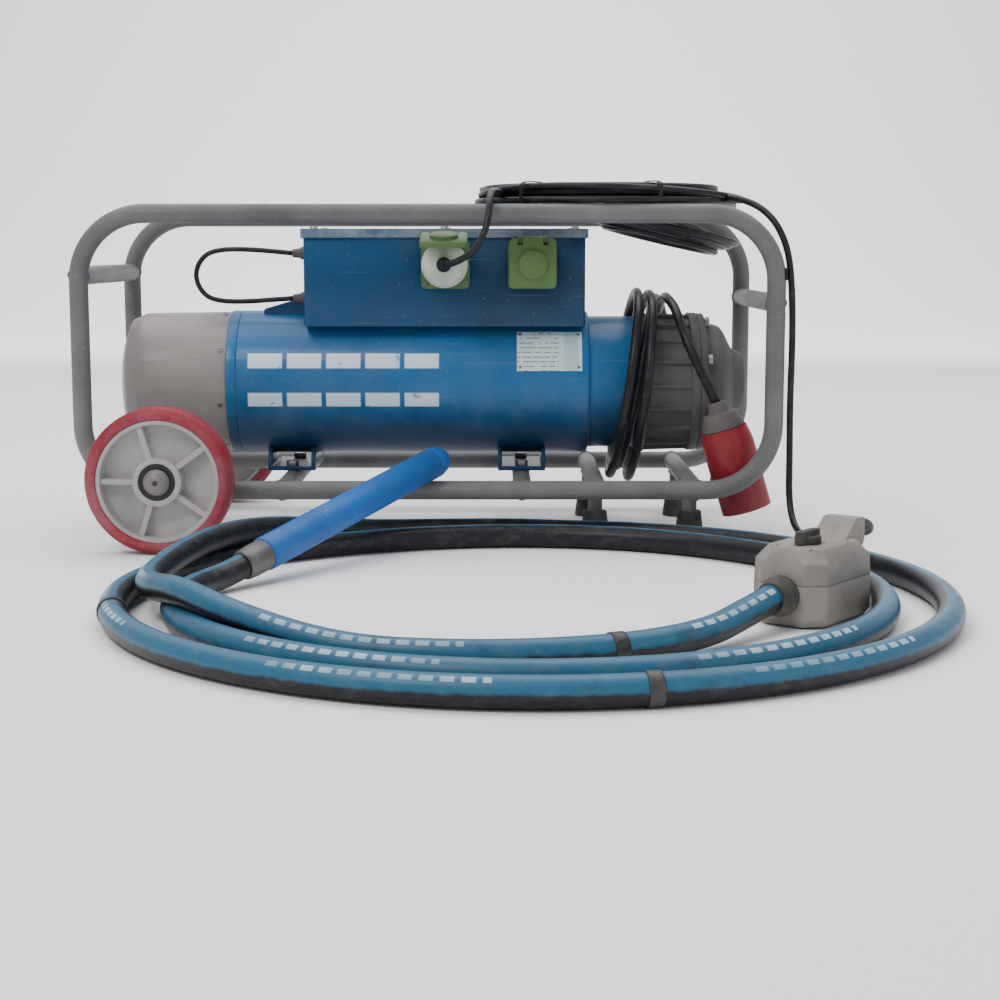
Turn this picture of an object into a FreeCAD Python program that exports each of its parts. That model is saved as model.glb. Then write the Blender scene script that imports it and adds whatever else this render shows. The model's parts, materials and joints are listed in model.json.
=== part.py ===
"""Wheeled high-frequency converter with its electric poker vibrator.

Millimetres.  X runs along the machine, Y away from the operator's side, Z up.
The floor is z = 0, and the origin is under the middle of the machine and poker.
"""
import FreeCAD, Part
import math
import os
import Sketcher

V = FreeCAD.Vector
doc = FreeCAD.newDocument("frequency_converter_set")

# ---------------------------------------------------------------- dimensions

DIMENSIONS = [
    # tubular frame, measured between tube centres
    ("frame_span", 915),
    ("frame_rise", 364),
    ("frame_corner", 88),
    ("frame_base", 72.5),
    ("tube_diameter", 25),
    ("loop_spacing", 350),
    ("machine_middle", 109),
    ("left_tie_height", 356),
    ("right_tie_height", 320),
    ("support_left", -195),
    ("support_right", 125),
    ("leg_diameter", 20),
    ("leg_inner", 226),
    ("leg_outer", 356),
    ("leg_spread", 190),
    # wheels
    ("wheel_diameter", 190),
    ("wheel_width", 45),
    ("wheel_track", 490),
    ("axle_place", -344),
    ("axle_diameter", 20),
    # rotary converter
    ("converter_height", 205),
    ("housing_radius", 100),
    ("housing_left", -266),
    ("housing_step", 218),
    ("housing_right", 284),
    ("cover_left", -426),
    ("bell_right", 438),
    ("shaft_diameter", 30),
    # terminal box
    ("box_left", -172),
    ("box_right", 211),
    ("box_depth", 180),
    ("box_floor", 286),
    ("box_rim", 409),
    ("sheet_wall", 3),
    ("socket_height", 370),
    ("socket_left", 21),
    ("socket_right", 139),
    ("socket_flange", 66),
    # poker
    ("poker_diameter", 41),
    ("poker_length", 393),
    # cords
    ("hose_diameter", 30),
    ("cable_diameter", 9),
    ("mains_diameter", 13),
    ("side_diameter", 7),
    ("running_gap", 0.05),
]


class Size:
    """A length together with the spreadsheet formula that gives it."""

    def __init__(self, value, formula):
        self.value = value
        self.formula = formula

    def joined(self, other, sign, value):
        return Size(value, f"({self.formula} {sign} {other.formula})")

    def __add__(self, other):
        other = size(other)
        return self.joined(other, "+", self.value + other.value)

    def __sub__(self, other):
        other = size(other)
        return self.joined(other, "-", self.value - other.value)

    def __mul__(self, other):
        other = size(other)
        return self.joined(other, "*", self.value * other.value)

    def __truediv__(self, other):
        other = size(other)
        return self.joined(other, "/", self.value / other.value)

    def __radd__(self, other):
        return size(other) + self

    def __rsub__(self, other):
        return size(other) - self

    def __rmul__(self, other):
        return size(other) * self

    def __neg__(self):
        return size(0) - self


def size(number):
    """A plain number as a Size, or the Size itself."""
    if isinstance(number, Size):
        return number
    return Size(number, f"({number!r})")


sheet = doc.addObject("Spreadsheet::Sheet", "Dimensions")
D = {}
for row, (alias, value) in enumerate(DIMENSIONS, start=1):
    sheet.set(f"A{row}", alias)
    sheet.set(f"B{row}", str(value))
    sheet.setAlias(f"B{row}", alias)
    D[alias] = Size(value, f"Dimensions.{alias}")
doc.recompute()

TUBE = D["tube_diameter"] / 2
MID_Y = D["machine_middle"]
FRONT_Y = MID_Y - D["loop_spacing"] / 2
REAR_Y = MID_Y + D["loop_spacing"] / 2
SIDE_X = D["frame_span"] / 2
FRAME_TOP = D["frame_base"] + D["frame_rise"]
AXIS_Z = D["converter_height"]
GAP = D["running_gap"]

# ------------------------------------------------------------- small helpers

WIDE_BEVEL = 8
TO_X = FreeCAD.Rotation()
TO_Y = FreeCAD.Rotation(V(0, 0, 1), 90)
TO_FRONT = FreeCAD.Rotation(V(0, 0, 1), -90)
TO_Z = FreeCAD.Rotation(V(0, 1, 0), -90)


def bind(item, name, length):
    """Set one property of an object from a Size."""
    item.setExpression(name, size(length).formula)


def place(item, x=0, y=0, z=0, turn=TO_X):
    item.Placement = FreeCAD.Placement(V(0, 0, 0), turn)
    for axis, length in (("x", x), ("y", y), ("z", z)):
        bind(item, f"Placement.Base.{axis}", length)
    return item


def new_body(label):
    body = doc.addObject("PartDesign::Body", label)
    body.Label = label
    return body


def origin_plane(body, role):
    return next(f for f in body.Origin.OriginFeatures if f.Role == role)


def sketch_on(body, role, name, offset=0):
    sketch = body.newObject("Sketcher::SketchObject", name)
    sketch.AttachmentSupport = (origin_plane(body, role), [""])
    sketch.MapMode = "FlatFace"
    bind(sketch, "AttachmentOffset.Base.z", offset)
    return sketch


def hold(sketch, kind, *where):
    """Add a dimension to a sketch; the last argument is its Size."""
    length = size(where[-1])
    number = sketch.addConstraint(Sketcher.Constraint(kind, *where[:-1], length.value))
    sketch.setExpression(f"Constraints[{number}]", length.formula)


def outline(sketch, corners):
    """Closed outline through corners (across, up) or (across, up, rounding)."""
    points = [[size(part) for part in (*corner, 0)[:3]] for corner in corners]
    count = len(points)
    first = sketch.GeometryCount
    spots = [V(across.value, up.value, 0) for across, up, _ in points]
    for number in range(count):
        sketch.addGeometry(Part.LineSegment(spots[number], spots[(number + 1) % count]))
    for number in range(count):
        following = first + (number + 1) % count
        sketch.addConstraint(Sketcher.Constraint("Coincident", first + number, 2, following, 1))
    for number, (across, up, _) in enumerate(points):
        hold(sketch, "DistanceX", -1, 1, first + number, 1, across)
        hold(sketch, "DistanceY", -1, 1, first + number, 1, up)
    for number, (_, _, rounding) in enumerate(points):
        if rounding.value == 0:
            continue
        here = spots[number]
        before = here + (spots[number - 1] - here).normalize() * rounding.value
        after = here + (spots[(number + 1) % count] - here).normalize() * rounding.value
        lines = first + (number - 1) % count, first + number
        sketch.fillet(*lines, before, after, rounding.value, True, True)
        arc = max(i for i, g in enumerate(sketch.Geometry) if isinstance(g, Part.ArcOfCircle))
        hold(sketch, "Radius", arc, rounding)


def circle(sketch, radius, across=0, up=0):
    radius, across, up = size(radius), size(across), size(up)
    shape = Part.Circle(V(across.value, up.value, 0), V(0, 0, 1), radius.value)
    number = sketch.addGeometry(shape)
    hold(sketch, "Radius", number, radius)
    hold(sketch, "DistanceX", -1, 1, number, 3, across)
    hold(sketch, "DistanceY", -1, 1, number, 3, up)


def bevelled(corners):
    """Turn each (along, radius, bevel) corner into the ends of its bevel.

    A wide bevel gets a third point between them, on the arc that it stands for.
    """
    points = [[size(part) for part in (*corner, 0)[:3]] for corner in corners]
    spots = [V(along.value, radius.value, 0) for along, radius, _ in points]
    result = []
    for number, (along, radius, bevel) in enumerate(points):
        if bevel.value == 0:
            result.append((along, radius))
            continue
        back = (spots[number - 1] - spots[number]).normalize()
        ahead = (spots[(number + 1) % len(spots)] - spots[number]).normalize()
        ways = [back, ahead]
        if bevel.value >= WIDE_BEVEL:
            half = back.getAngle(ahead) / 2
            ways.insert(1, (back + ahead).normalize() * (1 / math.cos(half) - math.tan(half)))
        result += [(along + bevel * way.x, radius + bevel * way.y) for way in ways]
    return result


def revolve(body, corners, name="turned"):
    """Revolve an outline of (along the axis, radius) corners about the body's X axis."""
    sketch = sketch_on(body, "XY_Plane", f"{name}_outline")
    outline(sketch, bevelled(corners))
    feature = body.newObject("PartDesign::Revolution", name)
    feature.Profile = sketch
    feature.ReferenceAxis = (sketch, ["H_Axis"])
    feature.Angle = 360
    return feature


def turned(label, corners, x=0, y=0, z=0, turn=TO_X):
    body = new_body(label)
    revolve(body, corners)
    return place(body, x, y, z, turn)


def pad(body, role, corners, length, name, offset=0, middle=False):
    sketch = sketch_on(body, role, f"{name}_outline", offset)
    outline(sketch, corners)
    feature = body.newObject("PartDesign::Pad", name)
    feature.Profile = sketch
    bind(feature, "Length", length)
    feature.Midplane = middle
    return feature


def pocket(body, role, corners, length, name, offset=0, middle=False, back=False):
    sketch = sketch_on(body, role, f"{name}_outline", offset)
    outline(sketch, corners)
    feature = body.newObject("PartDesign::Pocket", name)
    feature.Profile = sketch
    bind(feature, "Length", length)
    feature.Midplane = middle
    feature.Reversed = back
    return feature


def ring_of(body, feature, count, name):
    """Repeat a feature round the body's X axis."""
    pattern = body.newObject("PartDesign::PolarPattern", name)
    pattern.Originals = [feature]
    pattern.Axis = (feature.Profile[0], ["H_Axis"])
    pattern.Angle = 360
    pattern.Occurrences = count
    body.Tip = pattern
    return pattern


def rod(name, radius, length, x=0, y=0, z=0, turn=TO_Z):
    """Plain cylinder that starts at a point and runs the way that turn points."""
    item = doc.addObject("Part::Cylinder", name)
    bind(item, "Radius", radius)
    bind(item, "Height", length)
    return place(item, x, y, z, turn.multiply(FreeCAD.Rotation(V(0, 1, 0), 90)))


def cut(name, base, tool):
    item = doc.addObject("Part::Cut", name)
    item.Base = base
    item.Tool = tool
    return item


def group(label, items):
    """One node made of several separate solids."""
    item = doc.addObject("Part::Compound", label)
    item.Links = items
    return item


parts = []


def keep(item):
    """Mark an object as a sub-part that is written to its own file."""
    parts.append(item)
    return item


# -------------------------------------------------------------------- frame

def frame_loop(label, y):
    """Closed loop of bent tube with four round corners."""
    body = new_body(label)
    path = sketch_on(body, "XZ_Plane", "centre_line")
    corner = D["frame_corner"]
    outline(path, [
        (-SIDE_X, D["frame_base"], corner),
        (SIDE_X, D["frame_base"], corner),
        (SIDE_X, FRAME_TOP, corner),
        (-SIDE_X, FRAME_TOP, corner),
    ])
    section = sketch_on(body, "XY_Plane", "tube_section", (D["frame_base"] + FRAME_TOP) / 2)
    circle(section, TUBE, -SIDE_X, 0)
    doc.recompute()
    pipe = body.newObject("PartDesign::AdditivePipe", "tube")
    pipe.Profile = section
    pipe.Spine = (path, [])
    return place(body, y=y)


loops = [
    keep(frame_loop("frame_loop_front", FRONT_Y)),
    keep(frame_loop("frame_loop_rear", REAR_Y)),
]


def coped(name, tube):
    """Trim a tube's ends to the loops that it is welded to."""
    for number, loop in enumerate(loops):
        tube = cut(f"{name}_cope_{number}", tube, loop)
    return tube


def cross_tube(name, x, z):
    tube = rod(f"{name}_blank", TUBE, D["loop_spacing"], x, FRONT_Y, z, TO_Y)
    return coped(name, tube)


keep(group("cross_tubes", [
    cross_tube("left_tie", -SIDE_X, D["left_tie_height"]),
    cross_tube("right_tie", SIDE_X, D["right_tie_height"]),
    cross_tube("left_support", D["support_left"], D["frame_base"]),
    cross_tube("right_support", D["support_right"], D["frame_base"]),
    cross_tube("inner_leg_bar", D["leg_inner"], D["frame_base"]),
    cross_tube("outer_leg_bar", D["leg_outer"], D["frame_base"]),
]))

FOOT_SOLE = 7
FOOT_HEIGHT = 34
legs = []
feet = []
for y in (MID_Y - D["leg_spread"] / 2, MID_Y + D["leg_spread"] / 2):
    for x in (D["leg_inner"], D["leg_outer"]):
        number = len(legs)
        height = D["frame_base"] - FOOT_SOLE
        blank = rod(f"leg_{number}_blank", D["leg_diameter"] / 2, height, x, y, FOOT_SOLE, TO_Z)
        bar = rod(f"leg_{number}_bar", TUBE, D["leg_spread"], x, y - 50, D["frame_base"], TO_Y)
        legs.append(cut(f"leg_{number}", blank, bar))
        bore = D["leg_diameter"] / 2
        feet.append(turned(f"foot_{number}", [
            (0, 0),
            (0, bore + 10),
            (FOOT_HEIGHT, bore + 6),
            (FOOT_HEIGHT, bore),
            (FOOT_SOLE, bore),
            (FOOT_SOLE, 0),
        ], x, y, 0, TO_Z))
keep(group("frame_legs", legs))
keep(group("rubber_feet", feet))

# ------------------------------------------------------------ wheels and axle

WHEEL_R = D["wheel_diameter"] / 2
AXLE_R = D["axle_diameter"] / 2
HUB_HALF = 25
CAP_OUT = 34
RIM_R = WHEEL_R - 16
BEARING_R = AXLE_R + 14
BOSS_R = BEARING_R + 7
RIB_COUNT = 5

half_track = D["wheel_track"] / 2
axle_half = half_track + CAP_OUT - 5
keep(turned("wheel_axle", [
    (-axle_half, 0),
    (-axle_half, AXLE_R, 2),
    (axle_half, AXLE_R, 2),
    (axle_half, 0),
], D["axle_place"], MID_Y, WHEEL_R, TO_Y))


def wheel(name, y):
    """Cast hub with five ribs on each side, bonded tread and a sleeve bearing."""
    half = D["wheel_width"] / 2
    keep(turned(f"{name}_tyre", [
        (-half, RIM_R),
        (-half, WHEEL_R, 7),
        (half, WHEEL_R, 7),
        (half, RIM_R),
    ], D["axle_place"], y, WHEEL_R, TO_Y))
    hub = new_body(f"{name}_hub")
    rim_half = half - 1.5
    revolve(hub, [
        (-HUB_HALF, BEARING_R),
        (-HUB_HALF, BOSS_R),
        (-5, BOSS_R + 2),
        (-5, RIM_R - 8),
        (-rim_half, RIM_R - 5),
        (-rim_half, RIM_R),
        (rim_half, RIM_R),
        (rim_half, RIM_R - 5),
        (5, RIM_R - 8),
        (5, BOSS_R + 2),
        (HUB_HALF, BOSS_R),
        (HUB_HALF, BEARING_R),
    ])
    rib = pad(hub, "XY_Plane", [
        (-HUB_HALF + 4, BOSS_R - 1),
        (HUB_HALF - 4, BOSS_R - 1),
        (rim_half - 4, RIM_R - 5),
        (4 - rim_half, RIM_R - 5),
    ], 7, "rib", middle=True)
    doc.recompute()
    ring_of(hub, rib, RIB_COUNT, "ribs")
    keep(place(hub, D["axle_place"], y, WHEEL_R, TO_Y))
    keep(turned(f"{name}_bearing", [
        (1.5 - HUB_HALF, AXLE_R + GAP),
        (1.5 - HUB_HALF, BEARING_R),
        (HUB_HALF - 1.5, BEARING_R),
        (HUB_HALF - 1.5, AXLE_R + GAP),
    ], D["axle_place"], y, WHEEL_R, TO_Y))


wheel("wheel_front", MID_Y - half_track)
wheel("wheel_rear", MID_Y + half_track)

retainers = []
for side, turn in ((-1, TO_FRONT), (1, TO_Y)):
    y = MID_Y + side * half_track
    retainers.append(turned(f"inner_washer_{side + 1}", [
        (-HUB_HALF - 3.5, AXLE_R),
        (-HUB_HALF - 3.5, AXLE_R + 7),
        (-HUB_HALF - 0.5, AXLE_R + 7),
        (-HUB_HALF - 0.5, AXLE_R),
    ], D["axle_place"], y, WHEEL_R, turn))
    retainers.append(turned(f"axle_cap_{side + 1}", [
        (HUB_HALF + 0.5, AXLE_R),
        (HUB_HALF + 0.5, AXLE_R + 7),
        (HUB_HALF + 2.5, AXLE_R + 7),
        (CAP_OUT, AXLE_R + 2, 3),
        (CAP_OUT, 0),
        (axle_half - half_track, 0),
        (axle_half - half_track, AXLE_R),
    ], D["axle_place"], y, WHEEL_R, turn))
keep(group("axle_retainers", retainers))

# ---------------------------------------------------------- rotary converter

HOUSING_R = D["housing_radius"]
WALL = 9
NARROW_R = HOUSING_R - 8
CORE_R = NARROW_R - WALL
SHAFT_R = D["shaft_diameter"] / 2
SEAT_R = SHAFT_R - 3
BEARING_WIDTH = 18
BEARING_OUT = 34
SHIELD_AT = D["housing_left"]
BEARING_LEFT = SHIELD_AT - 4
BEARING_RIGHT = D["bell_right"] - 52


def on_axis(label, corners):
    return keep(turned(label, corners, 0, MID_Y, AXIS_Z))


on_axis("stator_housing", [
    (SHIELD_AT, CORE_R),
    (SHIELD_AT, HOUSING_R),
    (D["housing_step"], HOUSING_R, 3),
    (D["housing_step"], NARROW_R),
    (D["housing_right"], NARROW_R),
    (D["housing_right"], CORE_R),
])

SHIELD_RIM = 14
on_axis("fan_end_shield", [
    (BEARING_LEFT, BEARING_OUT),
    (BEARING_LEFT, BEARING_OUT + 10),
    (SHIELD_AT - SHIELD_RIM + 8, BEARING_OUT + 14),
    (SHIELD_AT - SHIELD_RIM + 4, HOUSING_R - 12),
    (SHIELD_AT - SHIELD_RIM, HOUSING_R - 4),
    (SHIELD_AT - SHIELD_RIM, HOUSING_R),
    (SHIELD_AT, HOUSING_R),
    (SHIELD_AT, BEARING_OUT),
])

# The fan cover is a thin pressed shell with air slots in its closed end.
COVER_WALL = 3
cover = new_body("fan_cover")
revolve(cover, [
    (SHIELD_AT - SHIELD_RIM, HOUSING_R - 6),
    (SHIELD_AT - SHIELD_RIM, HOUSING_R - 2),
    (D["cover_left"], HOUSING_R - 4, 26),
    (D["cover_left"], 12),
    (D["cover_left"] + COVER_WALL, 12),
    (D["cover_left"] + COVER_WALL, HOUSING_R - 4 - COVER_WALL, 23),
    (SHIELD_AT - SHIELD_RIM - 10, HOUSING_R - 6),
])
slot = pocket(cover, "YZ_Plane", [
    (26, -4),
    (66, -5),
    (66, 5),
    (26, 4),
], 20, "air_slot", offset=D["cover_left"] + 10)
doc.recompute()
pattern = cover.newObject("PartDesign::PolarPattern", "air_slots")
pattern.Originals = [slot]
pattern.Axis = (slot.Profile[0], ["N_Axis"])
pattern.Angle = 360
pattern.Occurrences = 12
cover.Tip = pattern
keep(place(cover, 0, MID_Y, AXIS_Z))

# Cast generator end: a round flange, a ribbed barrel and a bearing bell.
CAST_LEFT = D["housing_right"]
CAST_RIGHT = CAST_LEFT + 86
BARREL_R = HOUSING_R - 9
casting = new_body("generator_casting")
revolve(casting, [
    (CAST_LEFT, CORE_R - 4),
    (CAST_LEFT, HOUSING_R - 1),
    (CAST_LEFT + 13, HOUSING_R - 1),
    (CAST_LEFT + 13, BARREL_R),
    (CAST_RIGHT - 12, BARREL_R),
    (CAST_RIGHT - 12, HOUSING_R - 3),
    (CAST_RIGHT, HOUSING_R - 3),
    (CAST_RIGHT, CORE_R - 4),
])
fin = pad(casting, "XY_Plane", [
    (CAST_LEFT + 12, BARREL_R - 2),
    (CAST_LEFT + 12, HOUSING_R - 3),
    (CAST_RIGHT - 11, HOUSING_R - 5),
    (CAST_RIGHT - 11, BARREL_R - 2),
], 5, "fin", middle=True)
doc.recompute()
ring_of(casting, fin, 18, "fins")
keep(place(casting, 0, MID_Y, AXIS_Z))

on_axis("end_bell", [
    (CAST_RIGHT, BEARING_OUT + 30),
    (CAST_RIGHT, HOUSING_R - 4),
    (CAST_RIGHT + 10, HOUSING_R - 4),
    (CAST_RIGHT + 10, HOUSING_R - 18),
    (BEARING_RIGHT + BEARING_WIDTH, HOUSING_R - 20, 10),
    (D["bell_right"] - 18, BEARING_OUT + 14),
    (D["bell_right"] - 2, BEARING_OUT + 6),
    (D["bell_right"], 0),
    (D["bell_right"] - 12, 0),
    (BEARING_RIGHT + BEARING_WIDTH, BEARING_OUT),
    (BEARING_RIGHT, BEARING_OUT),
    (BEARING_RIGHT, BEARING_OUT + 8),
])

# Eight hexagon-headed bolts hold the bell to the casting.
BOLT_CIRCLE = HOUSING_R - 9
bolts = []
for number in range(8):
    angle = math.radians(22.5 + 45 * number)
    across = MID_Y + BOLT_CIRCLE * math.cos(angle)
    up = AXIS_Z + BOLT_CIRCLE * math.sin(angle)
    head = doc.addObject("Part::Prism", f"bell_bolt_{number}")
    head.Polygon = 6
    head.Circumradius = 8
    head.Height = 6
    place(head, CAST_RIGHT + 10, across, up, FreeCAD.Rotation(V(0, 1, 0), 90))
    bolts.append(head)


def core(name, left, right, inner, outer):
    return turned(name, [(left, inner), (left, outer), (right, outer), (right, inner)],
                  0, MID_Y, AXIS_Z)


MOTOR_LEFT = SHIELD_AT + 60
MOTOR_RIGHT = -60
GEN_LEFT = 20
GEN_RIGHT = D["housing_step"] - 30
ROTOR_R = 52
AIR_GAP = 1
stack_bore = ROTOR_R + AIR_GAP
keep(group("stator_cores", [
    core("motor_stator", MOTOR_LEFT, MOTOR_RIGHT, stack_bore, CORE_R),
    core("generator_stator", GEN_LEFT, GEN_RIGHT, stack_bore, CORE_R),
]))
windings = []
for left, right in ((MOTOR_LEFT, MOTOR_RIGHT), (GEN_LEFT, GEN_RIGHT)):
    for start, end in ((left - 24, left), (right, right + 24)):
        windings.append(core(f"winding_{len(windings)}", start, end, stack_bore + 5, CORE_R - 5))
keep(group("stator_windings", windings))

bearings = [
    core("fan_end_bearing", BEARING_LEFT, BEARING_LEFT + 12, SEAT_R + GAP, BEARING_OUT),
    core("bell_end_bearing", BEARING_RIGHT, BEARING_RIGHT + BEARING_WIDTH, SEAT_R + GAP, BEARING_OUT),
]

FAN_LEFT = D["cover_left"] + 28
SHAFT_END = BEARING_RIGHT + BEARING_WIDTH + 4
on_axis("rotor_shaft", [
    (FAN_LEFT - 8, 0),
    (FAN_LEFT - 8, SEAT_R),
    (BEARING_LEFT + 14, SEAT_R),
    (BEARING_LEFT + 14, SHAFT_R),
    (BEARING_RIGHT - 2, SHAFT_R),
    (BEARING_RIGHT - 2, SEAT_R),
    (SHAFT_END, SEAT_R),
    (SHAFT_END, 0),
])
keep(group("rotor_cores", [
    core("motor_rotor", MOTOR_LEFT, MOTOR_RIGHT, SHAFT_R, ROTOR_R),
    core("generator_rotor", GEN_LEFT, GEN_RIGHT, SHAFT_R, ROTOR_R),
]))

fan = new_body("cooling_fan")
revolve(fan, [
    (FAN_LEFT, SEAT_R),
    (FAN_LEFT, SEAT_R + 10),
    (FAN_LEFT + 40, SEAT_R + 12),
    (FAN_LEFT + 40, HOUSING_R - 22),
    (FAN_LEFT + 44, HOUSING_R - 22),
    (FAN_LEFT + 44, SEAT_R),
])
blade = pad(fan, "XY_Plane", [
    (FAN_LEFT + 8, SEAT_R + 9),
    (FAN_LEFT + 8, HOUSING_R - 30),
    (FAN_LEFT + 42, HOUSING_R - 24),
    (FAN_LEFT + 42, SEAT_R + 9),
], 4, "blade", middle=True)
doc.recompute()
ring_of(fan, blade, 9, "blades")
keep(place(fan, 0, MID_Y, AXIS_Z))

# ------------------------------------------------------- feet under the body

FOOT_PLATE = 6
support_top = D["frame_base"] + TUBE
housing_tool = rod("housing_space", HOUSING_R + 0.3, D["frame_span"], -SIDE_X, MID_Y, AXIS_Z, TO_X)


def housing_foot(name, x):
    """Folded channel: a bolted base plate and two webs that cradle the housing."""
    body = new_body(f"{name}_blank")
    half = 62
    width = 66
    rise = 34
    pad(body, "YZ_Plane", [(-half, 0), (half, 0), (half, FOOT_PLATE), (-half, FOOT_PLATE)],
        width, "base_plate", middle=True)
    web = [(-half, 0), (half, 0), (half, 16), (half - 14, rise), (14 - half, rise), (-half, 16)]
    for side in (-1, 1):
        pad(body, "YZ_Plane", web, 6, f"web_{side + 1}", offset=side * (width / 2 - 3), middle=True)
    place(body, x, MID_Y, support_top)
    return cut(name, body, housing_tool)


keep(group("housing_feet", [
    housing_foot("foot_left", D["support_left"]),
    housing_foot("foot_right", D["support_right"]),
]))
for x in (D["support_left"], D["support_right"]):
    for side in (-1, 1):
        y = MID_Y + side * 48
        head = doc.addObject("Part::Prism", f"foot_bolt_{len(bolts)}")
        head.Polygon = 6
        head.Circumradius = 9
        head.Height = 7
        bolts.append(place(head, x, y, support_top + FOOT_PLATE))
keep(group("hex_bolts", bolts))

# ------------------------------------------------------------- terminal box

BOX_HALF = D["box_depth"] / 2
BOX_FRONT = MID_Y - BOX_HALF
SHEET = D["sheet_wall"]
SOCKET_HOLE = 29
SKIRT_WIDE = 58


def rectangle(left, right, low, high, rounding=0):
    return [
        (left, low, rounding),
        (right, low, rounding),
        (right, high, rounding),
        (left, high, rounding),
    ]


def terminal_box():
    """Open-topped welded box that straddles the housing, with a sloped end skirt."""
    body = new_body("terminal_box_blank")
    pad(body, "XY_Plane", rectangle(D["box_left"], D["box_right"], -BOX_HALF, BOX_HALF, 6),
        D["box_rim"] - D["box_floor"], "outside", offset=D["box_floor"])
    inside = rectangle(D["box_left"] + SHEET, D["box_right"] - SHEET,
                       SHEET - BOX_HALF, BOX_HALF - SHEET, 3)
    pocket(body, "XY_Plane", inside, D["box_rim"] - D["box_floor"] - SHEET, "inside",
           offset=D["box_rim"])
    pad(body, "XZ_Plane", [
        (D["box_left"] - 62, AXIS_Z + 60),
        (D["box_left"] - 62, AXIS_Z + HOUSING_R + 3, 4),
        (D["box_left"] - 4, AXIS_Z + HOUSING_R + 20),
        (D["box_left"] + 1, AXIS_Z + HOUSING_R + 20),
        (D["box_left"] + 1, AXIS_Z + 60),
    ], SKIRT_WIDE, "skirt", middle=True)
    for x in (D["socket_left"], D["socket_right"]):
        hole = sketch_on(body, "XZ_Plane", "socket_hole", BOX_HALF + 5)
        circle(hole, SOCKET_HOLE, x, D["socket_height"])
        feature = body.newObject("PartDesign::Pocket", "socket_opening")
        feature.Profile = hole
        feature.Length = 20
    place(body, 0, MID_Y, 0)
    return cut("terminal_box", body, housing_tool)


keep(terminal_box())

GASKET = 2


def gasket_block(name, inset):
    block = doc.addObject("Part::Box", name)
    bind(block, "Length", D["box_right"] - D["box_left"] - 2 * inset)
    bind(block, "Width", D["box_depth"] - 2 * inset)
    bind(block, "Height", GASKET)
    return place(block, D["box_left"] + inset, BOX_FRONT + inset, D["box_rim"])


keep(cut("box_gasket", gasket_block("gasket_outside", 0.5), gasket_block("gasket_inside", 9)))

LID_THICK = 9
lid = new_body("box_lid")
pad(lid, "XY_Plane", rectangle(D["box_left"] - 4, D["box_right"] + 4, -BOX_HALF - 4, BOX_HALF + 4, 8),
    LID_THICK + 4, "plate", offset=D["box_rim"] + GASKET - 6)
pocket(lid, "XY_Plane", rectangle(D["box_left"] - 1, D["box_right"] + 1,
                                  -BOX_HALF - 1, BOX_HALF + 1, 6),
       6, "rim_recess", offset=D["box_rim"] + GASKET - 6, back=True)
keep(place(lid, 0, MID_Y, 0))

lid_screws = []
for x in (D["box_left"] + 14, (D["box_left"] + D["box_right"]) / 2, D["box_right"] - 14):
    for side in (-1, 1):
        lid_screws.append(turned(f"lid_screw_{len(lid_screws)}", [
            (0, 0),
            (0, 6),
            (3, 4.5),
            (3, 0),
        ], x, MID_Y + side * (BOX_HALF - 14), D["box_rim"] + GASKET + 7, TO_Z))
keep(group("box_lid_screws", lid_screws))

# ------------------------------------------------------------------ sockets

BARREL_OUT = 28
BARREL_IN = 24
BARREL_LENGTH = 26
FLANGE = 6
HINGE_UP = 33
HINGE_OUT = FLANGE + BARREL_LENGTH + 1
PIN_R = 2
LUG = 6
HINGE_HALF = 20


def socket_body(name, x):
    """Square flange, round barrel with a blind cavity, and two hinge lugs."""
    body = new_body(name)
    half = D["socket_flange"] / 2
    pad(body, "YZ_Plane", rectangle(-half, half, -half, half, 7), FLANGE, "flange")
    revolve(body, [
        (-18, 0),
        (-18, BARREL_OUT - 1),
        (1, BARREL_OUT - 1),
        (1, BARREL_OUT),
        (FLANGE + BARREL_LENGTH, BARREL_OUT),
        (FLANGE + BARREL_LENGTH, BARREL_IN),
        (-12, BARREL_IN),
        (-12, 0),
    ], "barrel")
    cavity = sketch_on(body, "YZ_Plane", "cavity_outline", FLANGE + BARREL_LENGTH)
    circle(cavity, BARREL_IN)
    feature = body.newObject("PartDesign::Pocket", "cavity")
    feature.Profile = cavity
    feature.Length = FLANGE + BARREL_LENGTH + 12
    for side in (-1, 1):
        middle = side * (HINGE_HALF - LUG / 2)
        lug = sketch_on(body, "XZ_Plane", "lug_outline", middle)
        outline(lug, [
            (FLANGE - 1, 22),
            (FLANGE + BARREL_LENGTH - 2, 22),
            (HINGE_OUT + 4, HINGE_UP - 4, 2),
            (HINGE_OUT + 4, HINGE_UP + 4, 3),
            (HINGE_OUT - 5, HINGE_UP + 4, 3),
            (FLANGE - 1, 28),
        ])
        feature = body.newObject("PartDesign::Pad", f"lug_{side + 1}")
        feature.Profile = lug
        feature.Length = LUG
        feature.Midplane = True
    hole = sketch_on(body, "XZ_Plane", "pin_hole", 0)
    circle(hole, PIN_R + 0.02, HINGE_OUT, HINGE_UP)
    feature = body.newObject("PartDesign::Pocket", "hinge_bore")
    feature.Profile = hole
    feature.Length = 60
    feature.Midplane = True
    return place(body, x, BOX_FRONT, D["socket_height"], TO_FRONT)


keep(group("socket_bodies", [
    socket_body("socket_body_left", D["socket_left"]),
    socket_body("socket_body_right", D["socket_right"]),
]))

contacts = []
for x in (D["socket_left"], D["socket_right"]):
    for angle in (90, 210, 330):
        across = x + 13 * math.cos(math.radians(angle))
        up = D["socket_height"] + 13 * math.sin(math.radians(angle))
        contacts.append(rod(f"contact_{len(contacts)}", 3, 22, across, BOX_FRONT + 12, up, TO_FRONT))
keep(group("socket_contacts", contacts))

LID_OUT = 31
LID_DEPTH = 7


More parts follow.
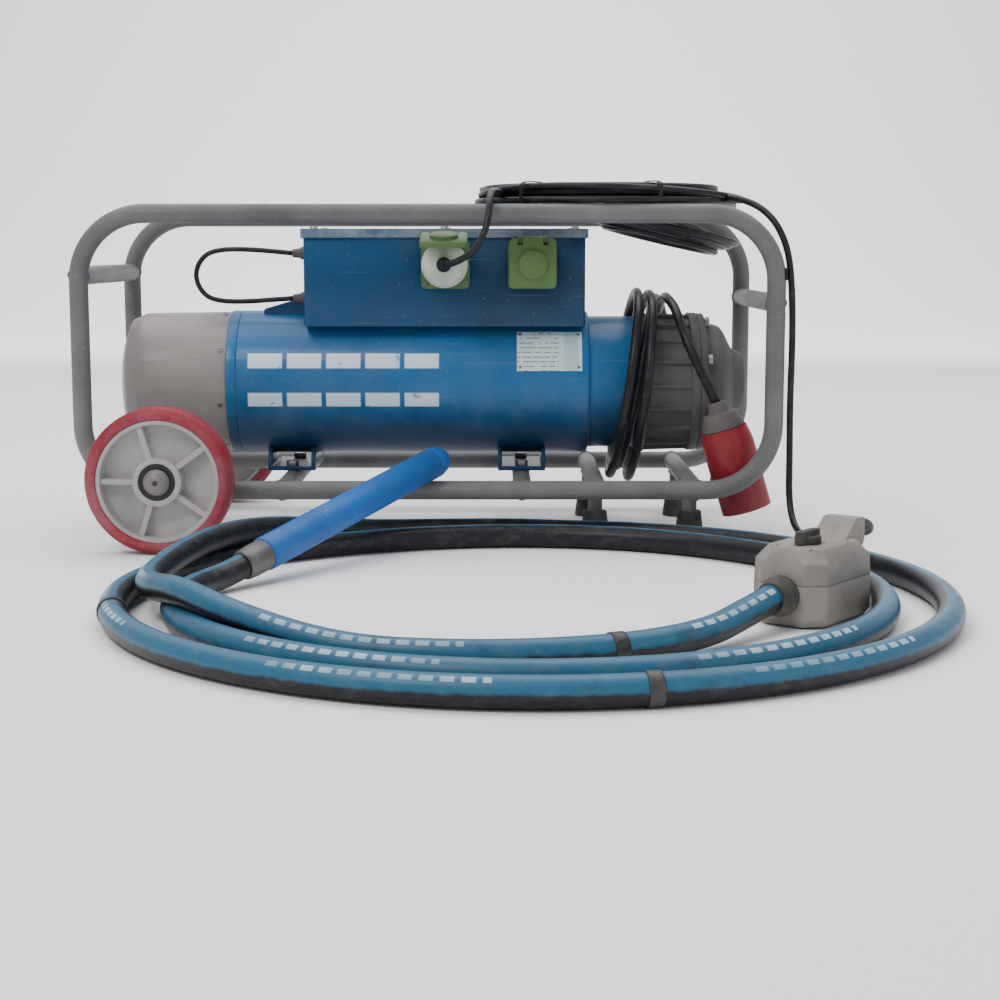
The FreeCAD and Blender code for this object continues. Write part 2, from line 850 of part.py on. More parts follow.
def socket_lid(name, x, opened):
    """Square sprung lid with a raised round centre and a rolled hinge eye."""
    body = new_body(name)
    low = -HINGE_UP - LID_OUT
    pad(body, "YZ_Plane", rectangle(-LID_OUT, LID_OUT, low, 2, 6), LID_DEPTH, "plate", offset=2.5)
    knuckle = HINGE_HALF - LUG - 0.5
    eye = sketch_on(body, "XZ_Plane", "eye_outline")
    circle(eye, 5)
    feature = body.newObject("PartDesign::Pad", "eye")
    feature.Profile = eye
    feature.Length = 2 * knuckle
    feature.Midplane = True
    boss = sketch_on(body, "YZ_Plane", "boss_outline", 2.5 + LID_DEPTH)
    circle(boss, 19, 0, -HINGE_UP)
    feature = body.newObject("PartDesign::Pad", "boss")
    feature.Profile = boss
    feature.Length = 5
    for side in (-1, 1):
        pocket(body, "YZ_Plane", rectangle(
            side * (HINGE_HALF - LUG / 2) - LUG / 2 - 0.5,
            side * (HINGE_HALF - LUG / 2) + LUG / 2 + 0.5, -7, 8),
            20, f"relief_{side + 1}", offset=15)
    bore = sketch_on(body, "XZ_Plane", "bore_outline")
    circle(bore, PIN_R + GAP)
    feature = body.newObject("PartDesign::Pocket", "bore")
    feature.Profile = bore
    feature.Length = 80
    feature.Midplane = True
    swing = TO_FRONT.multiply(FreeCAD.Rotation(V(0, 1, 0), -opened))
    return place(body, x, BOX_FRONT - HINGE_OUT, D["socket_height"] + HINGE_UP, swing)


keep(socket_lid("socket_lid_left", D["socket_left"], 78))
keep(socket_lid("socket_lid_right", D["socket_right"], 0))
keep(group("lid_hinge_pins", [
    rod(f"hinge_pin_{side}", PIN_R, 2 * HINGE_HALF, x - HINGE_HALF, BOX_FRONT - HINGE_OUT,
        D["socket_height"] + HINGE_UP, TO_X)
    for side, x in (("left", D["socket_left"]), ("right", D["socket_right"]))
]))

# ------------------------------------------------------------- rating plate

PLATE_WIDTH = 89
plate = new_body("rating_plate")
plate_left = D["housing_step"] - 100
plate_outline = sketch_on(plate, "XY_Plane", "plate_outline")
outline(plate_outline, rectangle(plate_left, plate_left + PLATE_WIDTH,
                                 HOUSING_R + 0.3, HOUSING_R + 1.3))
plate_turn = plate.newObject("PartDesign::Revolution", "rolled_plate")
plate_turn.Profile = plate_outline
plate_turn.ReferenceAxis = (plate_outline, ["H_Axis"])
plate_turn.Angle = 34
plate_turn.Midplane = True
keep(place(plate, 0, MID_Y, AXIS_Z, FreeCAD.Rotation(V(1, 0, 0), 151)))

# ------------------------------------------------------------- poker vibrator

POKER_BASE = V(-192, -358, 30)
POKER_AXIS = V(0.5445, 0.8117, 0.2163)
POKER_TURN = FreeCAD.Rotation(V(1, 0, 0), POKER_AXIS)
POKER_R = D["poker_diameter"] / 2
POKER_BORE = POKER_R - 3
POKER_END = D["poker_length"]
POKER_SHAFT = 6
HOSE_R = D["hose_diameter"] / 2
COLLAR_BACK = -24
COLLAR_FRONT = 14
TIP_BACK = POKER_END - 34


def on_poker(name, corners):
    return turned(name, corners, POKER_BASE.x, POKER_BASE.y, POKER_BASE.z, POKER_TURN)


keep(on_poker("poker_collar", [
    (COLLAR_BACK, 0),
    (COLLAR_BACK, HOSE_R + 2.5, 2),
    (COLLAR_BACK + 16, HOSE_R + 4),
    (COLLAR_FRONT, HOSE_R + 4),
    (COLLAR_FRONT, POKER_BORE),
    (COLLAR_FRONT + 12, POKER_BORE),
    (COLLAR_FRONT + 12, 8),
    (COLLAR_FRONT - 6, 8),
    (COLLAR_FRONT - 6, 0),
]))
keep(on_poker("poker_casing", [
    (COLLAR_FRONT, POKER_BORE),
    (COLLAR_FRONT, POKER_R, 1.5),
    (COLLAR_FRONT + 96, POKER_R),
    (COLLAR_FRONT + 97, POKER_R - 1),
    (COLLAR_FRONT + 101, POKER_R - 1),
    (COLLAR_FRONT + 102, POKER_R),
    (TIP_BACK, POKER_R),
    (TIP_BACK, POKER_BORE),
]))
keep(on_poker("poker_tip", [
    (TIP_BACK - 12, 8),
    (TIP_BACK - 12, POKER_BORE),
    (TIP_BACK, POKER_BORE),
    (TIP_BACK, POKER_R),
    (TIP_BACK + 18, POKER_R, 12),
    (POKER_END, 6, 5),
    (POKER_END, 0),
    (TIP_BACK - 4, 0),
    (TIP_BACK - 4, 8),
]))
keep(on_poker("poker_stator", [
    (70, 11),
    (70, POKER_BORE),
    (196, POKER_BORE),
    (196, 11),
]))
for start in (44, 330):
    bearings.append(on_poker(f"poker_bearing_{start}", [
        (start, POKER_SHAFT + GAP),
        (start, POKER_BORE),
        (start + 11, POKER_BORE),
        (start + 11, POKER_SHAFT + GAP),
    ]))
keep(group("ball_bearings", bearings))


def poker_rotor():
    """Shaft with the rotor core and a half-round eccentric weight."""
    body = new_body("poker_rotor")
    revolve(body, [
        (34, 0),
        (34, POKER_SHAFT),
        (72, POKER_SHAFT),
        (72, 10),
        (194, 10),
        (194, POKER_SHAFT),
        (344, POKER_SHAFT),
        (344, 0),
    ])
    weight = sketch_on(body, "YZ_Plane", "weight_outline", 214)
    outline(weight, [(-15, 0, 3), (15, 0, 3), (12, 9, 5), (-12, 9, 5)])
    feature = body.newObject("PartDesign::Pad", "weight")
    feature.Profile = weight
    feature.Length = 104
    return place(body, POKER_BASE.x, POKER_BASE.y, POKER_BASE.z, POKER_TURN)


keep(poker_rotor())

# --------------------------------------------------------------- switch box

SWITCH_AT = V(428, -553, 0)
SWITCH_TURN = FreeCAD.Rotation(V(0, 0, 1), 52)
SWITCH_HALF = 66
SWITCH_WIDE = 44
SWITCH_LOW = 1
SWITCH_SPLIT = 46
SWITCH_TOP = 82
HOSE_ENTRY = 34
CABLE_ENTRY = 88


def on_switch(body):
    return place(body, SWITCH_AT.x, SWITCH_AT.y, SWITCH_AT.z, SWITCH_TURN)


def chamfered_rectangle(half_long, half_wide, corner):
    return [
        (-half_long, corner - half_wide, 5),
        (corner - half_long, -half_wide, 5),
        (half_long - corner, -half_wide, 5),
        (half_long, corner - half_wide, 5),
        (half_long, half_wide - corner, 5),
        (half_long - corner, half_wide, 5),
        (corner - half_long, half_wide, 5),
        (-half_long, half_wide - corner, 5),
    ]


def switch_shell(name, stations):
    """Moulded shell lofted through (height, inset) stations."""
    body = new_body(name)
    sections = []
    for height, inset in stations:
        section = sketch_on(body, "XY_Plane", "section", height)
        outline(section, chamfered_rectangle(SWITCH_HALF - inset, SWITCH_WIDE - inset, 18))
        sections.append(section)
    doc.recompute()
    loft = body.newObject("PartDesign::AdditiveLoft", "shell")
    loft.Profile = sections[0]
    loft.Sections = sections[1:]
    loft.Ruled = True
    return body


base = switch_shell("switch_box_base", [(SWITCH_LOW, 5), (SWITCH_LOW + 8, 0), (SWITCH_SPLIT, 0)])
keep(on_switch(base))
cover = switch_shell("switch_box_cover", [(SWITCH_SPLIT, 0), (SWITCH_TOP - 14, 1), (SWITCH_TOP, 11)])
pad(cover, "XZ_Plane", [
    (30, SWITCH_TOP - 12),
    (SWITCH_HALF + 4, SWITCH_SPLIT + 14),
    (SWITCH_HALF + 14, CABLE_ENTRY - 10, 4),
    (SWITCH_HALF + 14, CABLE_ENTRY + 14, 5),
    (SWITCH_HALF - 6, CABLE_ENTRY + 14, 8),
    (34, SWITCH_TOP),
], 40, "cable_wing", middle=True)
keep(on_switch(cover))

LEVER_SEAT = SWITCH_TOP + 0.4
lever = new_body("switch_lever")
sketch = sketch_on(lever, "XY_Plane", "hub_outline", LEVER_SEAT)
circle(sketch, 14, -12, 0)
hub_pad = lever.newObject("PartDesign::Pad", "hub")
hub_pad.Profile = sketch
hub_pad.Length = 8
pad(lever, "XY_Plane", rectangle(-34, 8, -5, 5, 4), 14, "grip", offset=LEVER_SEAT)
keep(on_switch(lever))

switch_glands = []
for name, along, height, bore, turn in (
    ("hose_gland", -SWITCH_HALF, HOSE_ENTRY, HOSE_R, FreeCAD.Rotation(V(0, 0, 1), 180)),
    ("cable_gland", SWITCH_HALF + 14, CABLE_ENTRY, D["cable_diameter"] / 2, TO_X),
):
    gland = turned(name, [
        (-4, 0),
        (-4, bore + 6),
        (10, bore + 6, 1),
        (12, bore + 4),
        (24, bore + 2, 1),
        (24, 0),
    ])
    at = SWITCH_AT + SWITCH_TURN.multVec(V(along, 0, height))
    switch_glands.append(place(gland, at.x, at.y, at.z, SWITCH_TURN.multiply(turn)))
keep(group("switch_glands", switch_glands))

# -------------------------------------------------------------------- plugs

keep(turned("hf_plug", [
    (12, 0),
    (12, BARREL_IN - 0.4),
    (32.5, BARREL_IN - 0.4),
    (32.5, 27.5),
    (38.5, 27.5),
    (42, 31),
    (50, 31, 6),
    (60, 14),
    (70, 9),
    (70, 0),
], D["socket_left"], BOX_FRONT, D["socket_height"], TO_FRONT))

PLUG_TOP = V(387, -15, 186)
PLUG_AXIS = V(0.29, 0, -0.957)
PLUG_TURN = FreeCAD.Rotation(V(1, 0, 0), PLUG_AXIS)
SHROUD_R = 34
SHROUD_BORE = 30.5


def on_plug(name, corners):
    return turned(name, corners, PLUG_TOP.x, PLUG_TOP.y, PLUG_TOP.z, PLUG_TURN)


keep(on_plug("mains_plug_grip", [
    (0, 0),
    (0, 12),
    (14, 15),
    (16, 23),
    (34, 29, 2),
    (38, 29),
    (38, 0),
]))
keep(on_plug("mains_plug_body", [
    (38, 0),
    (38, 31),
    (60, 35, 5),
    (98, 35),
    (98, 37),
    (110, 37),
    (110, SHROUD_R),
    (152, SHROUD_R),
    (152, SHROUD_BORE),
    (114, SHROUD_BORE),
    (114, 0),
]))
pins = []
for number in range(5):
    angle = math.radians(72 * number + 90)
    offset = PLUG_TURN.multVec(V(114, 19 * math.cos(angle), 19 * math.sin(angle)))
    at = PLUG_TOP + offset
    pins.append(rod(f"plug_pin_{number}", 3, 30, at.x, at.y, at.z, PLUG_TURN))
keep(group("mains_plug_pins", pins))

# ------------------------------------------------------------- cable glands

SIDE_ENTRY_Y = 69
SIDE_ENTRIES = (385, 323)
MAINS_ENTRY = V(352, 0, 0)
glands = [
    turned(f"side_gland_{height}", [
        (0, 0),
        (0, 9),
        (8, 9, 1),
        (9, 7),
        (20, 5.5, 1),
        (20, 0),
    ], D["box_left"], SIDE_ENTRY_Y, height, FreeCAD.Rotation(V(0, 0, 1), 180))
    for height in SIDE_ENTRIES
]
glands.append(turned("mains_gland", [
    (BARREL_R - 3, 0),
    (BARREL_R - 3, 14),
    (BARREL_R + 12, 14, 1),
    (BARREL_R + 13, 11),
    (BARREL_R + 26, 9, 1),
    (BARREL_R + 26, 0),
], MAINS_ENTRY.x, MID_Y, AXIS_Z, TO_Y))
keep(group("cable_glands", glands))

# -------------------------------------------------------------------- cords


def cord_path(points):
    """Straight runs joined by tangent arcs, as one wire."""
    edges = []
    start = points[0]
    tightest = math.inf
    for before, here, after in zip(points, points[1:], points[2:]):
        into = here - before
        out = after - here
        turn = into.getAngle(out)
        shorter = min(into.Length, out.Length)
        setback = 0.45 * shorter
        tightest = min(tightest, setback / math.tan(turn / 2))
        into.normalize()
        out.normalize()
        first = here - into * setback
        last = here + out * setback
        inward = (out - into).normalize()
        radius = setback / math.tan(turn / 2)
        middle = here + inward * (radius / math.cos(turn / 2) - radius)
        edges.append(Part.LineSegment(start, first).toShape())
        edges.append(Part.Arc(first, middle, last).toShape())
        start = last
    edges.append(Part.LineSegment(start, points[-1]).toShape())
    return Part.Wire(edges), tightest


def ring_section(centre, axis, radius):
    """Eight-sided section of a cord, square to its axis."""
    turn = FreeCAD.Rotation(V(0, 0, 1), axis)
    corners = [
        centre + turn.multVec(V(math.cos(angle), math.sin(angle), 0)) * radius
        for angle in (math.radians(45 * number) for number in range(9))
    ]
    return Part.makePolygon(corners)


def cord(label, diameter, route):
    """Plain eight-sided tube of a cord's diameter along its route."""
    points = [V(*point) for point in route]
    wire, tightest = cord_path(points)
    radius = diameter.value / 2
    section = ring_section(points[0], points[1] - points[0], radius)
    item = doc.addObject("Part::Feature", label)
    item.Shape = wire.makePipeShell([section], True, True)
    share = item.Shape.Volume / (Part.Face(section).Area * wire.Length)
    print(f"{label}: length {wire.Length:.0f}, tightest radius {tightest:.0f}, volume share {share:.3f}")
    return item


HOSE_LEAD = [(-205.1, -377.5, 24.8), (-229, -414, 15.6), (-252, -457, 15.5)]
HOSE_TAIL = [
    (-168, -715, 17),
    (-60, -781, 16),
    (50, -806, 16),
    (150, -797, 16),
    (235, -764, 16),
    (300, -713, 18),
    (338, -668, 26),
    (373, -623.5, 34),
]
CABLE_RUN = [
    (492.0, -470.9, 88),
    (510, -446, 86),
    (522, -391, 68),
    (517, -316, 53),
    (504, -241, 42),
    (494, -166, 26),
    (484, -103, 22),
    (479, -71, 56),
    (479.5, -67, 112),
    (478.5, -66, 190),
    (480, -67, 270),
    (478.5, -65, 340),
    (472, -59, 398),
    (448, -39, 442),
    (405, -1, 462),
]
CABLE_DROP = [
    (100, 4, 463),
    (86, -39, 468),
    (82, -87, 460),
    (80, -109, 424),
    (66, -115, 390),
    (38, -103, 373),
    (21, -75, 370),
    (21, -51, 370),
]
MAINS_LEAD = [
    (352, 226, 205),
    (352, 258, 205),
    (350, 287, 226),
    (346, 298, 260),
    (339, 287, 294),
    (329, 258, 315),
    (319, 225, 318),
    (310, 194, 314),
    (302, 166, 309),
]
MAINS_DROP = [
    (318, -5, 268),
    (340, -12, 246),
    (366, -16, 226),
    (380, -15, 204),
    (387, -15, 186),
]
SIDE_LOOP = [
    (-192, 69, 385),
    (-222, 69, 388),
    (-250, 70, 390),
    (-274, 70, 390.5),
    (-292, 70, 389.5),
    (-309.5, 71, 385),
    (-322, 71, 372),
    (-327, 71, 354.5),
    (-322, 71, 337),
    (-309.5, 70, 324),
    (-292, 70, 319.5),
    (-274, 69, 318.5),
    (-250, 69, 319),
    (-222, 69, 321),
    (-192, 69, 323),
]

keep(cord("poker_hose_lead", D["hose_diameter"], HOSE_LEAD))
keep(cord("poker_hose_tail", D["hose_diameter"], HOSE_TAIL))
keep(cord("hf_cable_run", D["cable_diameter"], CABLE_RUN))
keep(cord("hf_cable_drop", D["cable_diameter"], CABLE_DROP))
keep(cord("mains_cable_lead", D["mains_diameter"], MAINS_LEAD))
keep(cord("mains_cable_drop", D["mains_diameter"], MAINS_DROP))
keep(cord("side_cable_loop", D["side_diameter"], SIDE_LOOP))

HOSE_COIL_AT = V(128, -491, 0)
keep(turned("poker_hose_coil", [
    (0.3, 372),
    (0.3, 468),
    (31, 468, 7),
    (31, 372, 7),
], HOSE_COIL_AT.x, HOSE_COIL_AT.y, HOSE_COIL_AT.z, TO_Z))

CABLE_COIL_X = 236
coil_top = turned("coil_top", [
    (0, 130),
    (0, 185),
    (28, 178),
    (28, 140),
], CABLE_COIL_X, MID_Y, FRAME_TOP + TUBE + 0.5, TO_Z)
coil_sag = turned("coil_sag", [
    (0, 70),
    (0, 118),
    (34, 118),
    (34, 70),
], CABLE_COIL_X + 80, MID_Y, FRAME_TOP - 36, FreeCAD.Rotation(V(0, 1, 0), -90 + 12))
cable_coil = doc.addObject("Part::Fuse", "hf_cable_coil")
cable_coil.Base = coil_top
cable_coil.Tool = coil_sag
keep(cable_coil)

COLLAR_WIDE = 56
COLLAR_AT = 291
COLLAR_LEAN = 9
collar = new_body("mains_cable_coil")
pad(collar, "YZ_Plane", rectangle(-128, 128, -140, 136, 122), COLLAR_WIDE, "loops", middle=True)
pocket(collar, "YZ_Plane", rectangle(-102, 102, -114, 112, 100), COLLAR_WIDE * 2, "middle",
       middle=True)
keep(place(collar, COLLAR_AT, MID_Y, AXIS_Z, FreeCAD.Rotation(V(0, 1, 0), COLLAR_LEAN)))

# ------------------------------------------------------------------- output

doc.recompute()
for item in doc.Objects:
    if "Invalid" in item.State or "Error" in item.State:
        raise RuntimeError(f"{item.Label}: {item.State}")
os.makedirs("parts", exist_ok=True)
for item in parts:
    shape = item.Shape
    if shape.isNull() or not shape.isValid():
        raise RuntimeError(f"{item.Label} has no valid shape")
    shape.exportStep(f"parts/{item.Label}.step")
print(len(parts), "sub-parts")
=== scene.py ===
"""Looks of the wheeled frequency converter and its concrete vibrator, around the fixed CAD frame."""

import json
import math

import bmesh
import bpy
from mathutils import Matrix, Vector

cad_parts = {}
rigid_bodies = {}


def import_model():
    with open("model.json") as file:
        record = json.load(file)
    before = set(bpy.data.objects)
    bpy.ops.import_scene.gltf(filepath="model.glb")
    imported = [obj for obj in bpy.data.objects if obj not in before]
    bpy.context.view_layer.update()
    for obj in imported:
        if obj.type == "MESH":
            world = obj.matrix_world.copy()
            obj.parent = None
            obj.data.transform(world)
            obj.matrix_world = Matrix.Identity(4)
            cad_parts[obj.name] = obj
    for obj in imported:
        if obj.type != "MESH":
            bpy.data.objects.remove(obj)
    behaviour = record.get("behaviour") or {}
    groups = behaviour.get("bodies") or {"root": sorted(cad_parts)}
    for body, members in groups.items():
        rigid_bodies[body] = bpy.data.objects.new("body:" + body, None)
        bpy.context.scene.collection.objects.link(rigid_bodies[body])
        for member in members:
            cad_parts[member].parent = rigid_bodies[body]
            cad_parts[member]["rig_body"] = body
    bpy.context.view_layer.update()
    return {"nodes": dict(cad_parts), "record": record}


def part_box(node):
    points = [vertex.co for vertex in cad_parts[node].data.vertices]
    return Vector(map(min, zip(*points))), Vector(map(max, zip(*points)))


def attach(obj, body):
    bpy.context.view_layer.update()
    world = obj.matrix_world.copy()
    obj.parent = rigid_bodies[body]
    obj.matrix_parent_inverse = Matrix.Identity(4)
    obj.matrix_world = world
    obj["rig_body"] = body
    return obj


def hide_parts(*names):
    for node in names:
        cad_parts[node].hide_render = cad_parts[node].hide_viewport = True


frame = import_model()
MACHINE = "machine"
MACHINE_MIDDLE = 0.109
AXIS_HEIGHT = 0.205

# ------------------------------------------------------------ camera and stage

VIEW_FROM = Vector((0.095, -2.442, 0.389))
VIEW_TILT = math.radians(7.9)
LENS_MM = 64.8


def make_camera():
    camera = bpy.data.objects.new("camera", bpy.data.cameras.new("camera"))
    camera.location = VIEW_FROM
    camera.rotation_euler = (math.pi / 2 - VIEW_TILT, 0, 0)
    camera.data.lens = LENS_MM
    bpy.context.scene.collection.objects.link(camera)
    bpy.context.scene.camera = camera


def area_light(name, place, target, width, power, tint=(1, 1, 1)):
    light = bpy.data.lights.new(name, "AREA")
    light.shape = "RECTANGLE"
    light.size = width
    light.size_y = width * 0.6
    light.energy = power
    light.color = tint
    lamp = bpy.data.objects.new(name, light)
    lamp.location = place
    lamp.rotation_euler = (Vector(target) - Vector(place)).to_track_quat("-Z", "Y").to_euler()
    bpy.context.scene.collection.objects.link(lamp)


BACKDROP_START = 6.0
BACKDROP_BEND = 4.0
BACKDROP_STEPS = 24
STAGE_HALF = 14.0
FLOOR_DROP = 0.0005


def make_stage():
    """Pale floor that curves up into a backdrop, so that no horizon shows."""
    profile = [(-STAGE_HALF, 0), (BACKDROP_START, 0)]
    for number in range(1, BACKDROP_STEPS + 1):
        turn = math.radians(90 * number / BACKDROP_STEPS)
        profile.append((BACKDROP_START + BACKDROP_BEND * math.sin(turn),
                        BACKDROP_BEND * (1 - math.cos(turn))))
    profile.append((BACKDROP_START + BACKDROP_BEND, STAGE_HALF))
    mesh = bmesh.new()
    rows = [[mesh.verts.new((side * STAGE_HALF, y, z - FLOOR_DROP)) for side in (-1, 1)]
            for y, z in profile]
    for low, high in zip(rows, rows[1:]):
        mesh.faces.new((low[0], low[1], high[1], high[0])).smooth = True
    data = bpy.data.meshes.new("floor")
    mesh.to_mesh(data)
    mesh.free()
    floor = bpy.data.objects.new("floor", data)
    bpy.context.scene.collection.objects.link(floor)
    pale = bpy.data.materials.new("pale_floor")
    pale.use_nodes = True
    shader = pale.node_tree.nodes["Principled BSDF"]
    shader.inputs["Base Color"].default_value = (0.90, 0.90, 0.91, 1)
    shader.inputs["Roughness"].default_value = 0.85
    shader.inputs["Specular IOR Level"].default_value = 0.1
    data.materials.append(pale)
    world = bpy.data.worlds.new("studio")
    world.use_nodes = True
    background = world.node_tree.nodes["Background"]
    background.inputs["Color"].default_value = (0.95, 0.97, 1.0, 1)
    background.inputs["Strength"].default_value = 0.62
    bpy.context.scene.world = world
    area_light("ceiling", (0, 1.5, 4.6), (0, 1.2, 0), 7.0, 330)
    area_light("backdrop", (0, 4.2, 3.4), (0, 10, 2.2), 6.0, 420)
    area_light("key", (-1.5, -2.3, 2.9), (0, 0, 0.2), 1.6, 62, (1, 0.97, 0.93))
    area_light("fill", (2.8, -2.0, 1.2), (0.1, 0, 0.2), 2.0, 10, (0.9, 0.95, 1))


make_camera()
make_stage()

# --------------------------------------------------------- shader node groups


class Graph:
    """A node tree with short calls for the nodes that these materials use."""

    def __init__(self, tree):
        self.tree = tree

    def node(self, kind, **values):
        item = self.tree.nodes.new(kind)
        for name, value in values.items():
            setattr(item, name, value)
        return item

    def feed(self, socket, value):
        if isinstance(value, bpy.types.NodeSocket):
            self.tree.links.new(value, socket)
        elif value is not None:
            socket.default_value = value

    def math(self, operation, first, second=None, third=None):
        item = self.node("ShaderNodeMath", operation=operation)
        for socket, value in zip(item.inputs, (first, second, third)):
            self.feed(socket, value)
        return item.outputs[0]

    def times(self, first, second):
        return self.math("MULTIPLY", first, second)

    def mix(self, share, first, second):
        item = self.node("ShaderNodeMix", data_type="RGBA")
        self.feed(item.inputs[0], share)
        self.feed(item.inputs[6], first)
        self.feed(item.inputs[7], second)
        return item.outputs[2]

    def ramp(self, value, low, high, smooth=False):
        item = self.node("ShaderNodeMapRange")
        if smooth:
            item.interpolation_type = "SMOOTHSTEP"
        self.feed(item.inputs["Value"], value)
        self.feed(item.inputs["From Min"], low)
        self.feed(item.inputs["From Max"], high)
        return item.outputs[0]

    def place(self, kind="Object"):
        return self.node("ShaderNodeTexCoord").outputs[kind]

    def stretched(self, vector, scale, turn=(0, 0, 0)):
        item = self.node("ShaderNodeMapping")
        self.feed(item.inputs["Vector"], vector)
        item.inputs["Scale"].default_value = scale
        item.inputs["Rotation"].default_value = turn
        return item.outputs[0]

    def noise(self, vector, scale, detail=4, rough=0.55):
        item = self.node("ShaderNodeTexNoise")
        self.feed(item.inputs["Vector"], vector)
        self.feed(item.inputs["Scale"], scale)
        item.inputs["Detail"].default_value = detail
        item.inputs["Roughness"].default_value = rough
        return item.outputs["Fac"]

    def cells(self, vector, scale):
        item = self.node("ShaderNodeTexVoronoi", feature="F1")
        self.feed(item.inputs["Vector"], vector)
        self.feed(item.inputs["Scale"], scale)
        return item.outputs["Distance"]

    def split(self, vector):
        item = self.node("ShaderNodeSeparateXYZ")
        self.feed(item.inputs[0], vector)
        return item.outputs


def new_group(name, inputs, outputs):
    """An empty shader group: inputs are (name, kind, default), outputs (name, kind)."""
    tree = bpy.data.node_groups.new(name, "ShaderNodeTree")
    for label, kind, default in inputs:
        socket = tree.interface.new_socket(label, in_out="INPUT", socket_type=kind)
        socket.default_value = default
    for label, kind in outputs:
        tree.interface.new_socket(label, in_out="OUTPUT", socket_type=kind)
    graph = Graph(tree)
    return graph, graph.node("NodeGroupInput").outputs, graph.node("NodeGroupOutput").inputs


NUMBER, COLOUR = "NodeSocketFloat", "NodeSocketColor"


def group_worn_finish():
    """Paint or plastic in use: tone drift, chips to the bare material, fine scratches and floor dust."""
    graph, given, result = new_group("worn_finish", [
        ("Colour", COLOUR, (0.5, 0.5, 0.5, 1)),
        ("Bare", COLOUR, (0.3, 0.3, 0.3, 1)),
        ("Dust", COLOUR, (0.42, 0.39, 0.34, 1)),
        ("Scale", NUMBER, 30),
        ("Drift", NUMBER, 0.25),
        ("Chips", NUMBER, 0.2),
        ("Scratches", NUMBER, 0.3),
        ("Dirt", NUMBER, 0.3),
        ("Gloss", NUMBER, 0.4),
    ], [("Colour", COLOUR), ("Roughness", NUMBER), ("Height", NUMBER)])
    spot = graph.place()
    patches = graph.noise(spot, graph.times(given["Scale"], 0.25), 3)
    speckle = graph.noise(spot, graph.times(given["Scale"], 4), 6, 0.65)
    dark = graph.mix(given["Drift"], given["Colour"], (0.02, 0.02, 0.025, 1))
    tone = graph.mix(graph.ramp(patches, 0.35, 0.7), given["Colour"], dark)
    edge = graph.math("SUBTRACT", 0.78, graph.times(given["Chips"], 0.3))
    blend = graph.math("MULTIPLY_ADD", patches, 0.5, graph.times(speckle, 0.5))
    chip = graph.ramp(blend, edge, graph.math("ADD", edge, 0.02))
    along = graph.stretched(spot, (3, 90, 90), (0, 0.4, 0.6))
    across = graph.stretched(spot, (90, 4, 60), (0.5, 0, 0.3))
    lines = graph.math("MAXIMUM", graph.noise(along, 3, 2), graph.noise(across, 3, 2))
    mark = graph.times(graph.ramp(lines, 0.66, 0.72), given["Scratches"])
    shown = graph.mix(graph.times(mark, 0.5), tone, given["Bare"])
    shown = graph.mix(chip, shown, given["Bare"])
    height = graph.split(spot)[2]
    low = graph.ramp(height, 0.34, 0.0)
    dust = graph.times(graph.times(low, given["Dirt"]),
                       graph.ramp(graph.noise(spot, 18, 5), 0.3, 0.75))
    graph.feed(result["Colour"], graph.mix(dust, shown, given["Dust"]))
    rough = graph.math("MULTIPLY_ADD", patches, 0.18, given["Gloss"])
    rough = graph.math("MULTIPLY_ADD", dust, 0.4, rough)
    rough = graph.math("MULTIPLY_ADD", chip, 0.15, rough)
    graph.feed(result["Roughness"], graph.math("MULTIPLY_ADD", mark, 0.1, rough))
    depth = graph.times(speckle, 0.25)
    depth = graph.math("SUBTRACT", depth, chip)
    graph.feed(result["Height"], graph.math("SUBTRACT", depth, graph.times(mark, 0.4)))
    return graph.tree


def group_cast_grain():
    """Sand-cast skin: coarse pits over a fine grain."""
    graph, given, result = new_group("cast_grain", [
        ("Scale", NUMBER, 300),
    ], [("Height", NUMBER)])
    spot = graph.place()
    fine = graph.noise(spot, given["Scale"], 4, 0.7)
    pits = graph.cells(spot, graph.times(given["Scale"], 0.6))
    graph.feed(result["Height"], graph.math("MULTIPLY_ADD", graph.ramp(pits, 0.0, 0.35), 0.5, fine))
    return graph.tree


PRINT_CYCLE = 0.44


